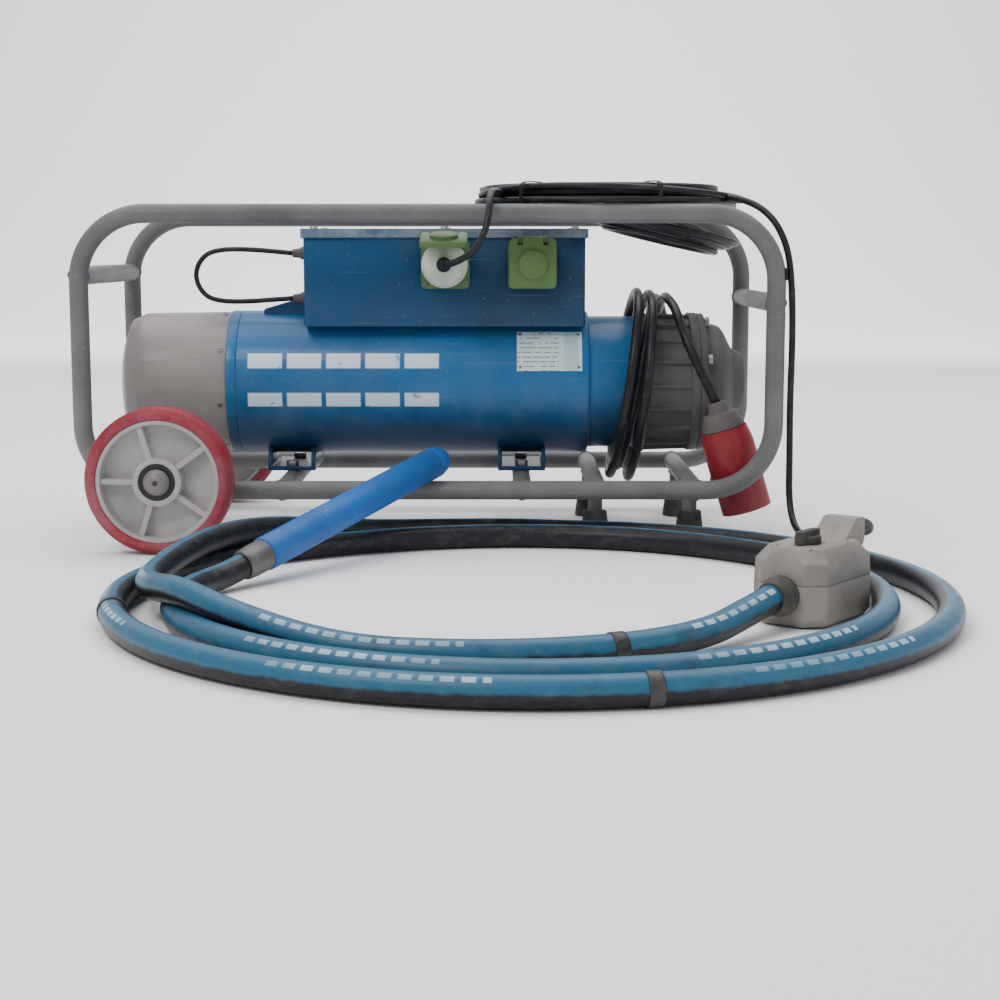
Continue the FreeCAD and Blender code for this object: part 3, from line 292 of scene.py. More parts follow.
def group_marked_cord():
    """Outer sheath of a cord: a coloured band along one side, worn prints in it, scuffs and dust."""
    graph, given, result = new_group("marked_cord", [
        ("Sheath", COLOUR, (0.01, 0.012, 0.016, 1)),
        ("Band", COLOUR, (0.03, 0.2, 0.35, 1)),
        ("Print", COLOUR, (0.42, 0.55, 0.62, 1)),
        ("Band Width", NUMBER, 0.0),
        ("Prints", NUMBER, 0.0),
        ("Dust", NUMBER, 0.15),
    ], [("Colour", COLOUR), ("Roughness", NUMBER), ("Height", NUMBER)])
    spot = graph.place()
    along, around = graph.split(graph.place("UV"))[:2]
    side = graph.math("ABSOLUTE", graph.math("SUBTRACT", around, 0.5))
    ragged = graph.math("MULTIPLY_ADD", graph.noise(spot, 60, 3), 0.05, -0.025)
    near = graph.math("ADD", side, ragged)
    band = graph.ramp(near, given["Band Width"], graph.math("SUBTRACT", given["Band Width"], 0.035))
    worn = graph.times(band, graph.ramp(graph.noise(spot, 14, 4, 0.6), 0.8, 0.55))
    tone = graph.mix(worn, given["Sheath"], given["Band"])
    cycle = graph.math("FRACT", graph.math("DIVIDE", along, PRINT_CYCLE))
    inside = graph.math("LESS_THAN", cycle, 0.48)
    dash = graph.math("FRACT", graph.math("DIVIDE", along, PRINT_CYCLE / 24))
    dash = graph.times(graph.ramp(dash, 0.10, 0.16), graph.ramp(dash, 0.84, 0.78))
    band_middle = graph.ramp(side, 0.036, 0.030)
    faded = graph.ramp(graph.noise(spot, 8, 2), 0.25, 0.6)
    stamp = graph.times(graph.times(inside, dash), band_middle)
    stamp = graph.times(graph.times(stamp, faded), given["Prints"])
    tone = graph.mix(stamp, tone, given["Print"])
    scuff = graph.ramp(graph.noise(graph.stretched(spot, (1, 1, 2)), 45, 6, 0.7), 0.5, 0.8)
    dust = graph.times(scuff, given["Dust"])
    graph.feed(result["Colour"], graph.mix(dust, tone, (0.30, 0.29, 0.27, 1)))
    graph.feed(result["Roughness"], graph.math("MULTIPLY_ADD", dust, 0.8, 0.38))
    rings = graph.math("SINE", graph.times(along, 2 * math.pi / 0.0035))
    grain = graph.noise(spot, 500, 3)
    graph.feed(result["Height"], graph.math("MULTIPLY_ADD", rings, 0.08, grain))
    return graph.tree


WORN = group_worn_finish()
CAST = group_cast_grain()
CORD = group_marked_cord()
SHINE = 0.25
SKIN_DEPTH = 0.0006
CORD_DEPTH = 0.0004


class Finish:
    """One material: a Principled shader with helpers to feed it."""

    def __init__(self, name, metallic=0.0, coat=0.0):
        self.material = bpy.data.materials.new(name)
        self.material.use_nodes = True
        self.graph = Graph(self.material.node_tree)
        self.shader = self.material.node_tree.nodes["Principled BSDF"]
        self.shader.inputs["Metallic"].default_value = metallic
        self.shader.inputs["Specular IOR Level"].default_value = SHINE
        self.shader.inputs["Coat Weight"].default_value = coat
        self.shader.inputs["Coat Roughness"].default_value = 0.15

    def use(self, group, **values):
        item = self.graph.node("ShaderNodeGroup")
        item.node_tree = group
        for label, value in values.items():
            self.graph.feed(item.inputs[label.replace("_", " ")], value)
        return item.outputs

    def bump(self, height, strength, distance):
        item = self.graph.node("ShaderNodeBump")
        item.inputs["Strength"].default_value = strength
        item.inputs["Distance"].default_value = distance
        self.graph.feed(item.inputs["Height"], height)
        self.graph.feed(self.shader.inputs["Normal"], item.outputs[0])

    def show(self, outputs):
        self.recolour(outputs["Colour"])
        self.graph.feed(self.shader.inputs["Roughness"], outputs["Roughness"])

    def colour(self):
        return self.shader.inputs["Base Color"].links[0].from_socket

    def recolour(self, colour):
        self.graph.feed(self.shader.inputs["Base Color"], colour)


def painted(name, colour, bare, gloss, scale=30, drift=0.25, chips=0.2, scratches=0.3, dirt=0.3,
            metallic=0.0, coat=0.0, bump=0.25, grain=None):
    """A worn painted, plated or moulded surface."""
    finish = Finish(name, metallic, coat)
    outputs = finish.use(WORN, Colour=(*colour, 1), Bare=(*bare, 1), Scale=scale, Drift=drift,
                         Chips=chips, Scratches=scratches, Dirt=dirt, Gloss=gloss)
    finish.show(outputs)
    height = outputs["Height"]
    if grain:
        rough_skin = finish.use(CAST, Scale=grain)["Height"]
        height = finish.graph.math("MULTIPLY_ADD", rough_skin, 0.8, height)
    finish.bump(height, bump, SKIN_DEPTH)
    return finish


def sheath(name, band, band_width, prints, dust):
    """Black cord rubber with a band of another colour along one side."""
    finish = Finish(name)
    outputs = finish.use(CORD, Sheath=(0.011, 0.012, 0.015, 1), Band=(*band, 1),
                         Band_Width=band_width, Prints=prints, Dust=dust)
    finish.show(outputs)
    finish.bump(outputs["Height"], 0.2, CORD_DEPTH)
    return finish.material


PRIMER = (0.33, 0.33, 0.32)


BLOCK_PITCH = 0.0535
BLOCK_LEFT = -0.252
BLOCK_RIM = 0.0015
BLOCK_ROWS = ((0.229, 0.250, 5), (0.177, 0.197, 5))


def housing_paint():
    """Deep blue with two rows of plain pale blocks on the front, and painted shade towards the underside.
    """
    finish = painted("housing_blue", (0.004, 0.118, 0.305), PRIMER, 0.34, coat=0.12, chips=0.2,
                     scratches=0.3, dirt=0.2)
    graph = finish.graph
    base = finish.colour()
    across, depth, up = graph.split(graph.place())
    # Painted shade: the blue darkens with a ragged edge towards the underside, standing in for the shadow
    # under the round body.
    patches = graph.math("MULTIPLY_ADD", graph.noise(graph.place(), 9, 4), 0.06, -0.03)
    low = graph.ramp(graph.math("ADD", up, patches), 0.205, 0.115, smooth=True)
    shade = graph.mix(graph.times(low, 0.82), base, (0.004, 0.02, 0.05, 1))
    front = graph.ramp(depth, 0.06, 0.055)
    gaps = graph.math("FRACT", graph.math("DIVIDE", graph.math("SUBTRACT", across, BLOCK_LEFT),
                                          BLOCK_PITCH))
    blocks = graph.times(graph.ramp(gaps, 0.04, 0.07), graph.ramp(gaps, 0.94, 0.91))
    worn = graph.ramp(graph.noise(graph.place(), 60, 3, 0.5), 0.74, 0.64)
    marks = 0
    for bottom, top, count in BLOCK_ROWS:
        row = graph.times(graph.ramp(up, bottom, bottom + BLOCK_RIM),
                          graph.ramp(up, top, top - BLOCK_RIM))
        ends = graph.times(graph.math("GREATER_THAN", across, BLOCK_LEFT),
                           graph.math("LESS_THAN", across, BLOCK_LEFT + count * BLOCK_PITCH))
        marks = graph.math("MAXIMUM", marks, graph.times(row, ends))
    marks = graph.times(graph.times(marks, front), graph.times(blocks, worn))
    finish.recolour(graph.mix(marks, shade, (0.60, 0.72, 0.80, 1)))
    return finish.material


def box_blue():
    """Dark blue sheet, lighter and rubbed along the rim of the lid, and paler towards its left end as
    painted light.
    """
    finish = painted("box_blue", (0.004, 0.050, 0.128), PRIMER, 0.36, coat=0.1, chips=0.22,
                     scratches=0.35, dirt=0.1, drift=0.45)
    graph = finish.graph
    base = finish.colour()
    across, _, up = graph.split(graph.place())
    # Painted light: the blue turns paler towards the left end, as if lit from that side.
    left = graph.ramp(across, 0.12, -0.14, smooth=True)
    tone = graph.mix(graph.times(left, 0.5), base, (0.006, 0.078, 0.20, 1))
    rim = graph.times(graph.ramp(up, 0.4055, 0.4065), graph.ramp(up, 0.4175, 0.4160))
    rubbed = graph.ramp(graph.noise(graph.place(), 26, 5, 0.7), 0.25, 0.6)
    share = graph.times(graph.times(rim, rubbed), 0.75)
    finish.recolour(graph.mix(share, tone, (0.24, 0.28, 0.32, 1)))
    return finish.material


def tread_paint():
    """Crimson polyurethane: bright where it is clean, pale and scuffed on the side walls."""
    finish = painted("tread_crimson", (0.25, 0.003, 0.018), (0.42, 0.12, 0.14), 0.42, scale=45,
                     chips=0.1, scratches=0.35, dirt=0.25)
    graph = finish.graph
    base = finish.colour()
    facing = graph.split(graph.node("ShaderNodeNewGeometry").outputs["Normal"])[1]
    wall = graph.ramp(graph.math("ABSOLUTE", facing), 0.8, 0.95)
    scuffed = graph.ramp(graph.noise(graph.place(), 60, 6, 0.7), 0.4, 0.75)
    share = graph.times(graph.times(wall, scuffed), 0.65)
    finish.recolour(graph.mix(share, base, (0.40, 0.10, 0.145, 1)))
    return finish.material


PLATE_ROW = 0.0062


def label_print():
    """Pale printed plate with broken ruled rows and a square field."""
    finish = painted("label_print", (0.60, 0.74, 0.80), (0.4, 0.4, 0.4), 0.3, chips=0.05,
                     scratches=0.2, dirt=0.1, coat=0.4)
    graph = finish.graph
    base = finish.colour()
    across, _, up = graph.split(graph.place())
    rows = graph.math("FRACT", graph.math("DIVIDE", up, PLATE_ROW))
    line = graph.times(graph.ramp(rows, 0.3, 0.36), graph.ramp(rows, 0.62, 0.56))
    breaks = graph.ramp(graph.noise(graph.stretched(graph.place(), (1, 1, 0.1)), 160, 2), 0.44, 0.48)
    left = graph.ramp(across, 0.176, 0.175)
    field = graph.times(graph.ramp(across, 0.182, 0.183), graph.ramp(across, 0.203, 0.202))
    ink = graph.times(graph.times(line, breaks), left)
    tone = graph.mix(graph.times(ink, 0.75), base, (0.05, 0.12, 0.18, 1))
    tone = graph.mix(graph.times(field, 0.5), tone, (0.25, 0.45, 0.5, 1))
    finish.recolour(tone)
    return finish.material


def winding_copper():
    """Varnished copper wire, laid round the bore."""
    finish = painted("winding_copper", (0.42, 0.13, 0.035), (0.5, 0.2, 0.08), 0.3, metallic=0.8)
    graph = finish.graph
    _, depth, up = graph.split(graph.place())
    round_bore = graph.math("ARCTAN2", graph.math("SUBTRACT", up, AXIS_HEIGHT),
                            graph.math("SUBTRACT", depth, MACHINE_MIDDLE))
    strands = graph.math("SINE", graph.times(round_bore, 260))
    finish.bump(strands, 0.6, SKIN_DEPTH)
    return finish.material


FINISHES = {
    "frame_paint": painted("frame_grey", (0.150, 0.150, 0.153), (0.30, 0.285, 0.27), 0.42, chips=0.3,
                           scratches=0.5, dirt=0.25, drift=0.4, grain=220).material,
    "zinc_steel": painted("zinc_steel", (0.30, 0.30, 0.30), (0.14, 0.11, 0.08), 0.36, metallic=0.85,
                          scale=80, chips=0.35, scratches=0.5).material,
    "black_rubber": painted("black_rubber", (0.014, 0.014, 0.015), (0.06, 0.06, 0.06), 0.6,
                            chips=0.1, dirt=0.35, grain=500).material,
    "red_tread": tread_paint(),
    "wheel_grey": painted("wheel_grey", (0.40, 0.375, 0.385), (0.22, 0.17, 0.16), 0.45, scale=40,
                          chips=0.35, scratches=0.4, dirt=0.5, drift=0.3, grain=180).material,
    "bearing_steel": painted("bearing_steel", (0.022, 0.021, 0.022), (0.12, 0.12, 0.12), 0.4,
                             metallic=0.3, chips=0.25, dirt=0.1).material,
    "blue_paint": housing_paint(),
    "box_paint": box_blue(),
    "cover_paint": painted("cover_warm_grey", (0.262, 0.235, 0.228), (0.10, 0.085, 0.075), 0.36,
                           chips=0.3, scratches=0.4, dirt=0.35, coat=0.1, drift=0.35).material,
    "cast_grey": painted("cast_grey", (0.072, 0.070, 0.074), (0.16, 0.155, 0.15), 0.48, chips=0.3,
                         scratches=0.3, dirt=0.25, grain=260, bump=0.5).material,
    "core_steel": painted("core_steel", (0.25, 0.25, 0.26), (0.4, 0.4, 0.4), 0.35, metallic=0.9).material,
    "winding_copper": winding_copper(),
    "contact_brass": painted("contact_brass", (0.62, 0.42, 0.14), (0.3, 0.2, 0.08), 0.25,
                             metallic=1.0, chips=0.2).material,
    "socket_green": painted("socket_green", (0.085, 0.165, 0.052), (0.20, 0.25, 0.14), 0.4, scale=90,
                            chips=0.3, scratches=0.4, dirt=0.1, grain=700).material,
    "plug_cream": painted("plug_cream", (0.55, 0.60, 0.50), (0.24, 0.21, 0.16), 0.38, scale=80,
                          chips=0.28, scratches=0.5, dirt=0.1, drift=0.3, grain=700).material,
    "poker_blue": painted("poker_blue", (0.003, 0.112, 0.400), (0.10, 0.20, 0.32), 0.38, scale=60,
                          chips=0.3, scratches=0.35, dirt=0.06, drift=0.3).material,
    "collar_grey": painted("collar_grey", (0.11, 0.11, 0.115), (0.30, 0.30, 0.30), 0.36, metallic=0.7,
                           chips=0.4, scratches=0.6, dirt=0.3).material,
    "hose_rubber": sheath("hose_sheath", (0.022, 0.108, 0.195), 0.165, 0.85, 0.14),
    "cable_rubber": sheath("cable_sheath", (0.02, 0.02, 0.02), 0.0, 0.0, 0.12),
    "switch_grey": painted("switch_grey", (0.225, 0.208, 0.196), (0.13, 0.12, 0.11), 0.45, scale=60,
                           chips=0.3, scratches=0.5, dirt=0.45, grain=600, drift=0.4).material,
    "plug_red": painted("plug_red", (0.275, 0.003, 0.014), (0.34, 0.08, 0.09), 0.34, chips=0.12,
                        scratches=0.35, dirt=0.2, coat=0.1).material,
    "plug_grey": painted("plug_grey", (0.10, 0.085, 0.085), (0.2, 0.19, 0.18), 0.5, dirt=0.3,
                         grain=600).material,
    "plate_metal": label_print(),
}
TAPE_THICK = 0.0012
TAPE = painted("black_tape", (0.012, 0.012, 0.013), (0.06, 0.06, 0.06), 0.3, scale=120, dirt=0.2).material
# Near-black painted shade that stands for the hollow of screw recesses.
RECESS_SHADE = painted("painted_recess_shade", (0.006, 0.006, 0.007), (0.03, 0.03, 0.03), 0.6).material
HUB_CAP = painted("oiled_cap", (0.20, 0.185, 0.19), (0.08, 0.06, 0.05), 0.4, scale=70, metallic=0.4,
                  chips=0.3, scratches=0.4).material

# ------------------------------------------------------------------ cord routes

HOSE_LEAD = [
    (-0.2051, -0.3775, 0.0248),
    (-0.2214, -0.4018, 0.0183),
    (-0.238, -0.430, 0.0158),
    (-0.249, -0.464, 0.0155),
    (-0.254, -0.505, 0.0155),
]
HOSE_TAIL = [
    (-0.168, -0.715, 0.036),
    (-0.060, -0.781, 0.0165),
    (0.050, -0.806, 0.016),
    (0.150, -0.797, 0.016),
    (0.235, -0.764, 0.016),
    (0.300, -0.713, 0.018),
    (0.338, -0.668, 0.026),
    (0.373, -0.6235, 0.034),
]
CABLE_RUN = [
    (0.492, -0.4709, 0.088),
    (0.510, -0.446, 0.086),
    (0.522, -0.391, 0.068),
    (0.517, -0.316, 0.053),
    (0.504, -0.241, 0.042),
    (0.494, -0.166, 0.026),
    (0.484, -0.103, 0.022),
    (0.479, -0.071, 0.056),
    (0.4795, -0.067, 0.112),
    (0.4785, -0.066, 0.190),
    (0.480, -0.067, 0.270),
    (0.4785, -0.065, 0.340),
    (0.472, -0.059, 0.398),
    (0.448, -0.039, 0.442),
    (0.405, -0.001, 0.462),
]
CABLE_DROP = [
    (0.100, 0.004, 0.463),
    (0.086, -0.039, 0.468),
    (0.082, -0.087, 0.460),
    (0.080, -0.109, 0.424),
    (0.066, -0.115, 0.390),
    (0.038, -0.103, 0.373),
    (0.021, -0.075, 0.370),
    (0.021, -0.051, 0.370),
]
MAINS_LEAD = [
    (0.352, 0.226, 0.205),
    (0.352, 0.255, 0.205),
    (0.3505, 0.2814, 0.220),
    (0.348, 0.2965, 0.2464),
    (0.344, 0.2965, 0.2766),
    (0.338, 0.2814, 0.303),
    (0.330, 0.255, 0.318),
    (0.321, 0.224, 0.3205),
    (0.312, 0.194, 0.319),
    (0.3055, 0.163, 0.317),
]
MAINS_DROP = [
    (0.335, 0.048, 0.312),
    (0.341, 0.018, 0.290),
    (0.350, -0.003, 0.262),
    (0.362, -0.013, 0.236),
    (0.374, -0.016, 0.212),
    (0.387, -0.015, 0.186),
]
SIDE_LOOP = [
    (-0.192, 0.069, 0.385),
    (-0.222, 0.069, 0.388),
    (-0.250, 0.070, 0.390),
    (-0.274, 0.070, 0.3905),
    (-0.292, 0.070, 0.3895),
    (-0.3095, 0.071, 0.385),
    (-0.322, 0.071, 0.372),
    (-0.327, 0.071, 0.3545),
    (-0.322, 0.071, 0.337),
    (-0.3095, 0.070, 0.324),
    (-0.292, 0.070, 0.3195),
    (-0.274, 0.069, 0.3185),
    (-0.250, 0.069, 0.319),
    (-0.222, 0.069, 0.321),
    (-0.192, 0.069, 0.323),
]
HOSE_DIAMETER = 0.030
CABLE_DIAMETER = 0.009
MAINS_DIAMETER = 0.013
SIDE_DIAMETER = 0.007


def between(stations, where, even=False):
    """Value at a place between (place, value) stations, eased unless it changes evenly."""
    for (start, first), (end, last) in zip(stations, stations[1:]):
        if where <= end:
            share = max(0.0, (where - start) / (end - start))
            if not even:
                share = share * share * (3 - 2 * share)
            return first + (last - first) * share
    return stations[-1][1]


HOSE_CENTRE = Vector((0.128, -0.491, 0))
HOSE_TURNS = [(175, 0.382), (205, 0.392), (270, 0.393), (360, 0.386), (470, 0.403), (540, 0.453),
              (640, 0.455), (730, 0.453), (820, 0.442), (900, 0.423), (925, 0.389)]
HOSE_START, HOSE_END, HOSE_STEP = 190, 922, 12
HOSE_LOW = 0.0155
SECOND_TURN, THIRD_TURN = 780, 900
CROSSING_WIDTH = 1.4 * HOSE_DIAMETER
CROSSING_RISE = 1.05 * HOSE_DIAMETER


def hose_coil():
    """Two open turns on the floor; the later turn rides over the earlier one where they cross."""
    points = []
    steps = round((HOSE_END - HOSE_START) / HOSE_STEP)
    for number in range(steps + 1):
        angle = HOSE_START + (HOSE_END - HOSE_START) * number / steps
        radius = between(HOSE_TURNS, angle)
        height = HOSE_LOW
        if angle > SECOND_TURN:
            gap = abs(radius - between(HOSE_TURNS, angle - 360)) / CROSSING_WIDTH
            if angle > THIRD_TURN:
                gap = min(gap, abs(radius - between(HOSE_TURNS, angle - 720)) / CROSSING_WIDTH)
            height += CROSSING_RISE * max(0.0, math.cos(math.pi / 2 * min(gap, 1)))
        turn = math.radians(angle)
        points.append(HOSE_CENTRE + Vector((radius * math.cos(turn), radius * math.sin(turn), height)))
    return points


# Stations of the wound power cable: angle, middle of the turn along X, radius, height, lean.
COIL_X = 0.236
LAYER = 0.0089
FIRST_LAYER = 0.4555
CABLE_TURNS = [
    (-20, COIL_X, 0.139, FIRST_LAYER, 0),
    (1300, COIL_X, 0.176, FIRST_LAYER, 0),
    (1400, 0.244, 0.184, FIRST_LAYER - 0.002, 0),
    (1620, 0.318, 0.116, 0.422, 12),
    (2340, 0.318, 0.098, 0.416, 13),
    (3060, 0.316, 0.078, 0.404, 14),
    (3180, 0.310, 0.082, 0.412, 12),
    (3400, COIL_X, 0.142, FIRST_LAYER + LAYER, 0),
    (4500, COIL_X, 0.170, FIRST_LAYER + LAYER, 0),
    (4560, 0.238, 0.174, FIRST_LAYER + 2 * LAYER, 0),
    (4680, 0.246, 0.190, FIRST_LAYER + LAYER, 2),
    (4800, 0.238, 0.166, FIRST_LAYER + 2 * LAYER, 0),
    (5140, COIL_X, 0.158, FIRST_LAYER + 2 * LAYER, 0),
    (5230, COIL_X, 0.172, FIRST_LAYER + 2 * LAYER, 0),
]
CABLE_STEP = 20


def cable_coil():
    """Turns outwards on the tubes, loose ones that sag below them, then two more layers on top."""
    start, end = CABLE_TURNS[0][0], CABLE_TURNS[-1][0]
    middle, radius, height, lean = (
        [(station[0], station[place]) for station in CABLE_TURNS] for place in (1, 2, 3, 4))
    points = []
    for angle in range(start, end + 1, CABLE_STEP):
        turn = math.radians(angle)
        out = between(radius, angle, even=True)
        tilt = Matrix.Rotation(math.radians(between(lean, angle)), 3, "Y")
        centre = Vector((between(middle, angle), MACHINE_MIDDLE, between(height, angle)))
        points.append(centre + tilt @ Vector((out * math.cos(turn), out * math.sin(turn), 0)))
    return points


LOOP_CENTRE = Vector((0.291, MACHINE_MIDDLE, AXIS_HEIGHT))
LOOP_LEAN = Matrix.Rotation(math.radians(9), 3, "Y")
LOOP_START, LOOP_END, LOOP_STEP = 82, 1182, 20
LOOP_ALONG = [(60, 0.000), (200, -0.010), (400, -0.024), (600, -0.020), (760, -0.008), (960, 0.006),
              (1120, 0.016), (1220, 0.020)]
LOOP_RADIUS = [(60, 0.1095), (320, 0.1095), (410, 0.1215)]
LOOP_TALLER = 0.004
LOOP_SAG = 0.006


def mains_loops():
    """Three loops and a bit round the waist of the converter, an inner one and then outer ones."""
    count = round((LOOP_END - LOOP_START) / LOOP_STEP)
    points = []
    for number in range(count + 1):
        angle = LOOP_START + (LOOP_END - LOOP_START) * number / count
        turn = math.radians(angle)
        along = between(LOOP_ALONG, angle)
        out = between(LOOP_RADIUS, angle)
        drop = LOOP_SAG * (1 - math.sin(turn))
        place = Vector((along, out * math.cos(turn), (out + LOOP_TALLER) * math.sin(turn) - drop))
        points.append(LOOP_CENTRE + LOOP_LEAN @ place)
    return points


# ---------------------------------------------------------------- tube building


def spline_line(points, fine=8):
    """Centreline of a smooth cord through its control points, as finely spaced points."""
    curve = bpy.data.curves.new("route", "CURVE")
    curve.dimensions = "3D"
    curve.resolution_u = fine
    spline = curve.splines.new("NURBS")
    spline.points.add(len(points) - 1)
    for spot, point in zip(spline.points, points):
        spot.co = (*point, 1)
    spline.order_u = 3
    spline.use_endpoint_u = True
    holder = bpy.data.objects.new("route", curve)
    mesh = bpy.data.meshes.new_from_object(holder)
    line = [vertex.co.copy() for vertex in mesh.vertices]
    bpy.data.objects.remove(holder)
    bpy.data.curves.remove(curve)
    bpy.data.meshes.remove(mesh)
    kept = [line[0]]
    for point in line[1:]:
        if (point - kept[-1]).length > 1e-5:
            kept.append(point)
    return kept


def line_length(line):
    return sum((b - a).length for a, b in zip(line, line[1:]))


def tube(name, line, radius, sides, outward, material, profile=None):
    """Closed tube along a line with its length and its turn as UVs; outward(point) faces UV 0.5."""
    mesh = bmesh.new()
    uv = mesh.loops.layers.uv.new("UVMap")
    rings = []
    travelled = 0.0
    distances = []
    for number, point in enumerate(line):
        ahead = line[min(number + 1, len(line) - 1)] - line[max(number - 1, 0)]
        ahead.normalize()
        face = outward(point)
        face = (face - ahead * face.dot(ahead)).normalized()
        side = ahead.cross(face)
        if number:
            travelled += (point - line[number - 1]).length
        distances.append(travelled)
        thick = radius * (profile(travelled) if profile else 1)
        ring = []
        for step in range(sides):
            turn = 2 * math.pi * step / sides + math.pi
            ring.append(mesh.verts.new(point + (face * math.cos(turn) + side * math.sin(turn)) * thick))
        rings.append(ring)
    for number, (ring, following) in enumerate(zip(rings, rings[1:])):
        for step in range(sides):
            beyond = (step + 1) % sides
            face = mesh.faces.new((ring[step], ring[beyond], following[beyond], following[step]))
            face.smooth = True
            corners = ((number, step), (number, step + 1), (number + 1, step + 1), (number + 1, step))
            for loop, (row, column) in zip(face.loops, corners):
                loop[uv].uv = (distances[row], column / sides)
    mesh.faces.new(rings[0])
    mesh.faces.new(reversed(rings[-1]))
    bmesh.ops.recalc_face_normals(mesh, faces=mesh.faces)
    return finished(name, mesh, material)


def finished(name, mesh, *materials):
    """Object at the origin from a bmesh, or from mesh data."""
    if isinstance(mesh, bmesh.types.BMesh):
        data = bpy.data.meshes.new(name)
        mesh.to_mesh(data)
        mesh.free()
    else:
        data = mesh
        data.name = name
    item = bpy.data.objects.new(name, data)
    bpy.context.scene.collection.objects.link(item)
    for material in materials:
        data.materials.append(material)
    return item


def on_machine(item):
    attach(item, MACHINE)
    return item


def point_at(line, distance):
    """Point of a line at a distance along it."""
    travelled = 0.0
    for before, here in zip(line, line[1:]):
        step = (here - before).length
        if travelled + step >= distance:
            return before.lerp(here, (distance - travelled) / max(step, 1e-9))
        travelled += step
    return line[-1].copy()


def stretch(line, start, end, count):
    """Evenly spaced points of a line between two distances along it."""
    return [point_at(line, start + (end - start) * number / count) for number in range(count + 1)]


def band(name, line, at, length, radius):
    """Short wrap of tape round the hose, centred at a distance along its line."""
    piece = stretch(line, at - length / 2, at + length / 2, 4)
    return on_machine(tube(name, piece, radius, 28, away_from_coil, TAPE))


def away_from_coil(point):
    """Up and outwards from the middle of the hose coil."""
    flat = Vector((point.x, point.y, 0)) - HOSE_CENTRE
    return flat.normalized() * 0.57 + Vector((0, 0, 0.82))


def upwards(point):
    return Vector((0.31, 0.17, 0.93))


def sideways(point):
    return Vector((1, 0.1, 0.05)).normalized()


def away_from_axis(point):
    out = Vector((0.05, point.y - MACHINE_MIDDLE, point.z - AXIS_HEIGHT))
    return out.normalized()


SLEEVE_RIB = 0.005
SLEEVE_STEP = 0.0012


def strain_relief(name, line, length, thick, thin):
    """Tapered ribbed rubber sleeve on the first stretch of a cord."""
    def shape(distance):
        share = min(1, distance / length)
        groove = 0.94 if (distance / SLEEVE_RIB) % 1 > 0.6 and share < 0.92 else 1.0
        return groove * (1 - share * (1 - thin / thick))

    piece = stretch(line, 0, length, int(length / SLEEVE_STEP))
    return on_machine(tube(name, piece, thick, 24, upwards, FINISHES["black_rubber"], shape))


def vectors(points):
    return [Vector(point) for point in points]


hose_line = spline_line(vectors(HOSE_LEAD) + hose_coil() + vectors(HOSE_TAIL), 12)
cable_line = spline_line(vectors(CABLE_RUN) + cable_coil() + vectors(CABLE_DROP), 8)
mains_line = spline_line(vectors(MAINS_LEAD) + mains_loops() + vectors(MAINS_DROP), 10)
side_line = spline_line(vectors(SIDE_LOOP), 10)

SHEATH = FINISHES["cable_rubber"]
cords = [
    (tube("poker_hose", hose_line, HOSE_DIAMETER / 2, 28, away_from_coil, FINISHES["hose_rubber"]),
     hose_line, HOSE_DIAMETER, ("poker_hose_lead", "poker_hose_coil", "poker_hose_tail"), "hose_rubber"),
    (tube("power_cable", cable_line, CABLE_DIAMETER / 2, 14, upwards, SHEATH),
     cable_line, CABLE_DIAMETER, ("hf_cable_run", "hf_cable_coil", "hf_cable_drop"), "cable_rubber"),
    (tube("mains_cable", mains_line, MAINS_DIAMETER / 2, 18, away_from_axis, SHEATH),
     mains_line, MAINS_DIAMETER, ("mains_cable_lead", "mains_cable_coil", "mains_cable_drop"),
     "cable_rubber"),
    (tube("remote_cable", side_line, SIDE_DIAMETER / 2, 14, sideways, SHEATH),
     side_line, SIDE_DIAMETER, ("side_cable_loop",), "cable_rubber"),
]
for piece, line, diameter, nodes, slot in cords:
    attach(piece, MACHINE)
    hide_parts(*nodes)
    print(piece.name, "length", round(line_length(line), 3))

# ------------------------------------------------------- softened CAD surfaces


EDGE_ANGLE = math.radians(35)
SHARP_ANGLE = math.radians(38)
FLAT_ANGLE = math.radians(0.6)


def softened(node, width):
    """Replace a CAD node by a copy of it with bevelled edges and smooth shading."""
    source = frame["nodes"][node]
    mesh = bmesh.new()
    mesh.from_mesh(source.data)
    bmesh.ops.remove_doubles(mesh, verts=mesh.verts, dist=1e-6)
    bmesh.ops.dissolve_limit(mesh, angle_limit=FLAT_ANGLE, verts=mesh.verts, edges=mesh.edges)
    bmesh.ops.recalc_face_normals(mesh, faces=mesh.faces)
    for face in mesh.faces:
        face.smooth = True
    item = finished(node + "_shell", mesh)
    bevel = item.modifiers.new("edges", "BEVEL")
    bevel.width = width
    bevel.segments = 2
    bevel.limit_method = "ANGLE"
    bevel.angle_limit = EDGE_ANGLE
    bevel.harden_normals = False
    bpy.context.view_layer.update()
    result = bpy.data.meshes.new_from_object(item.evaluated_get(bpy.context.evaluated_depsgraph_get()))
    item.modifiers.clear()
    item.data = result
    result.name = item.name
    item.data.set_sharp_from_angle(angle=SHARP_ANGLE)
    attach(item, source["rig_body"])
    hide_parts(node)
    return item


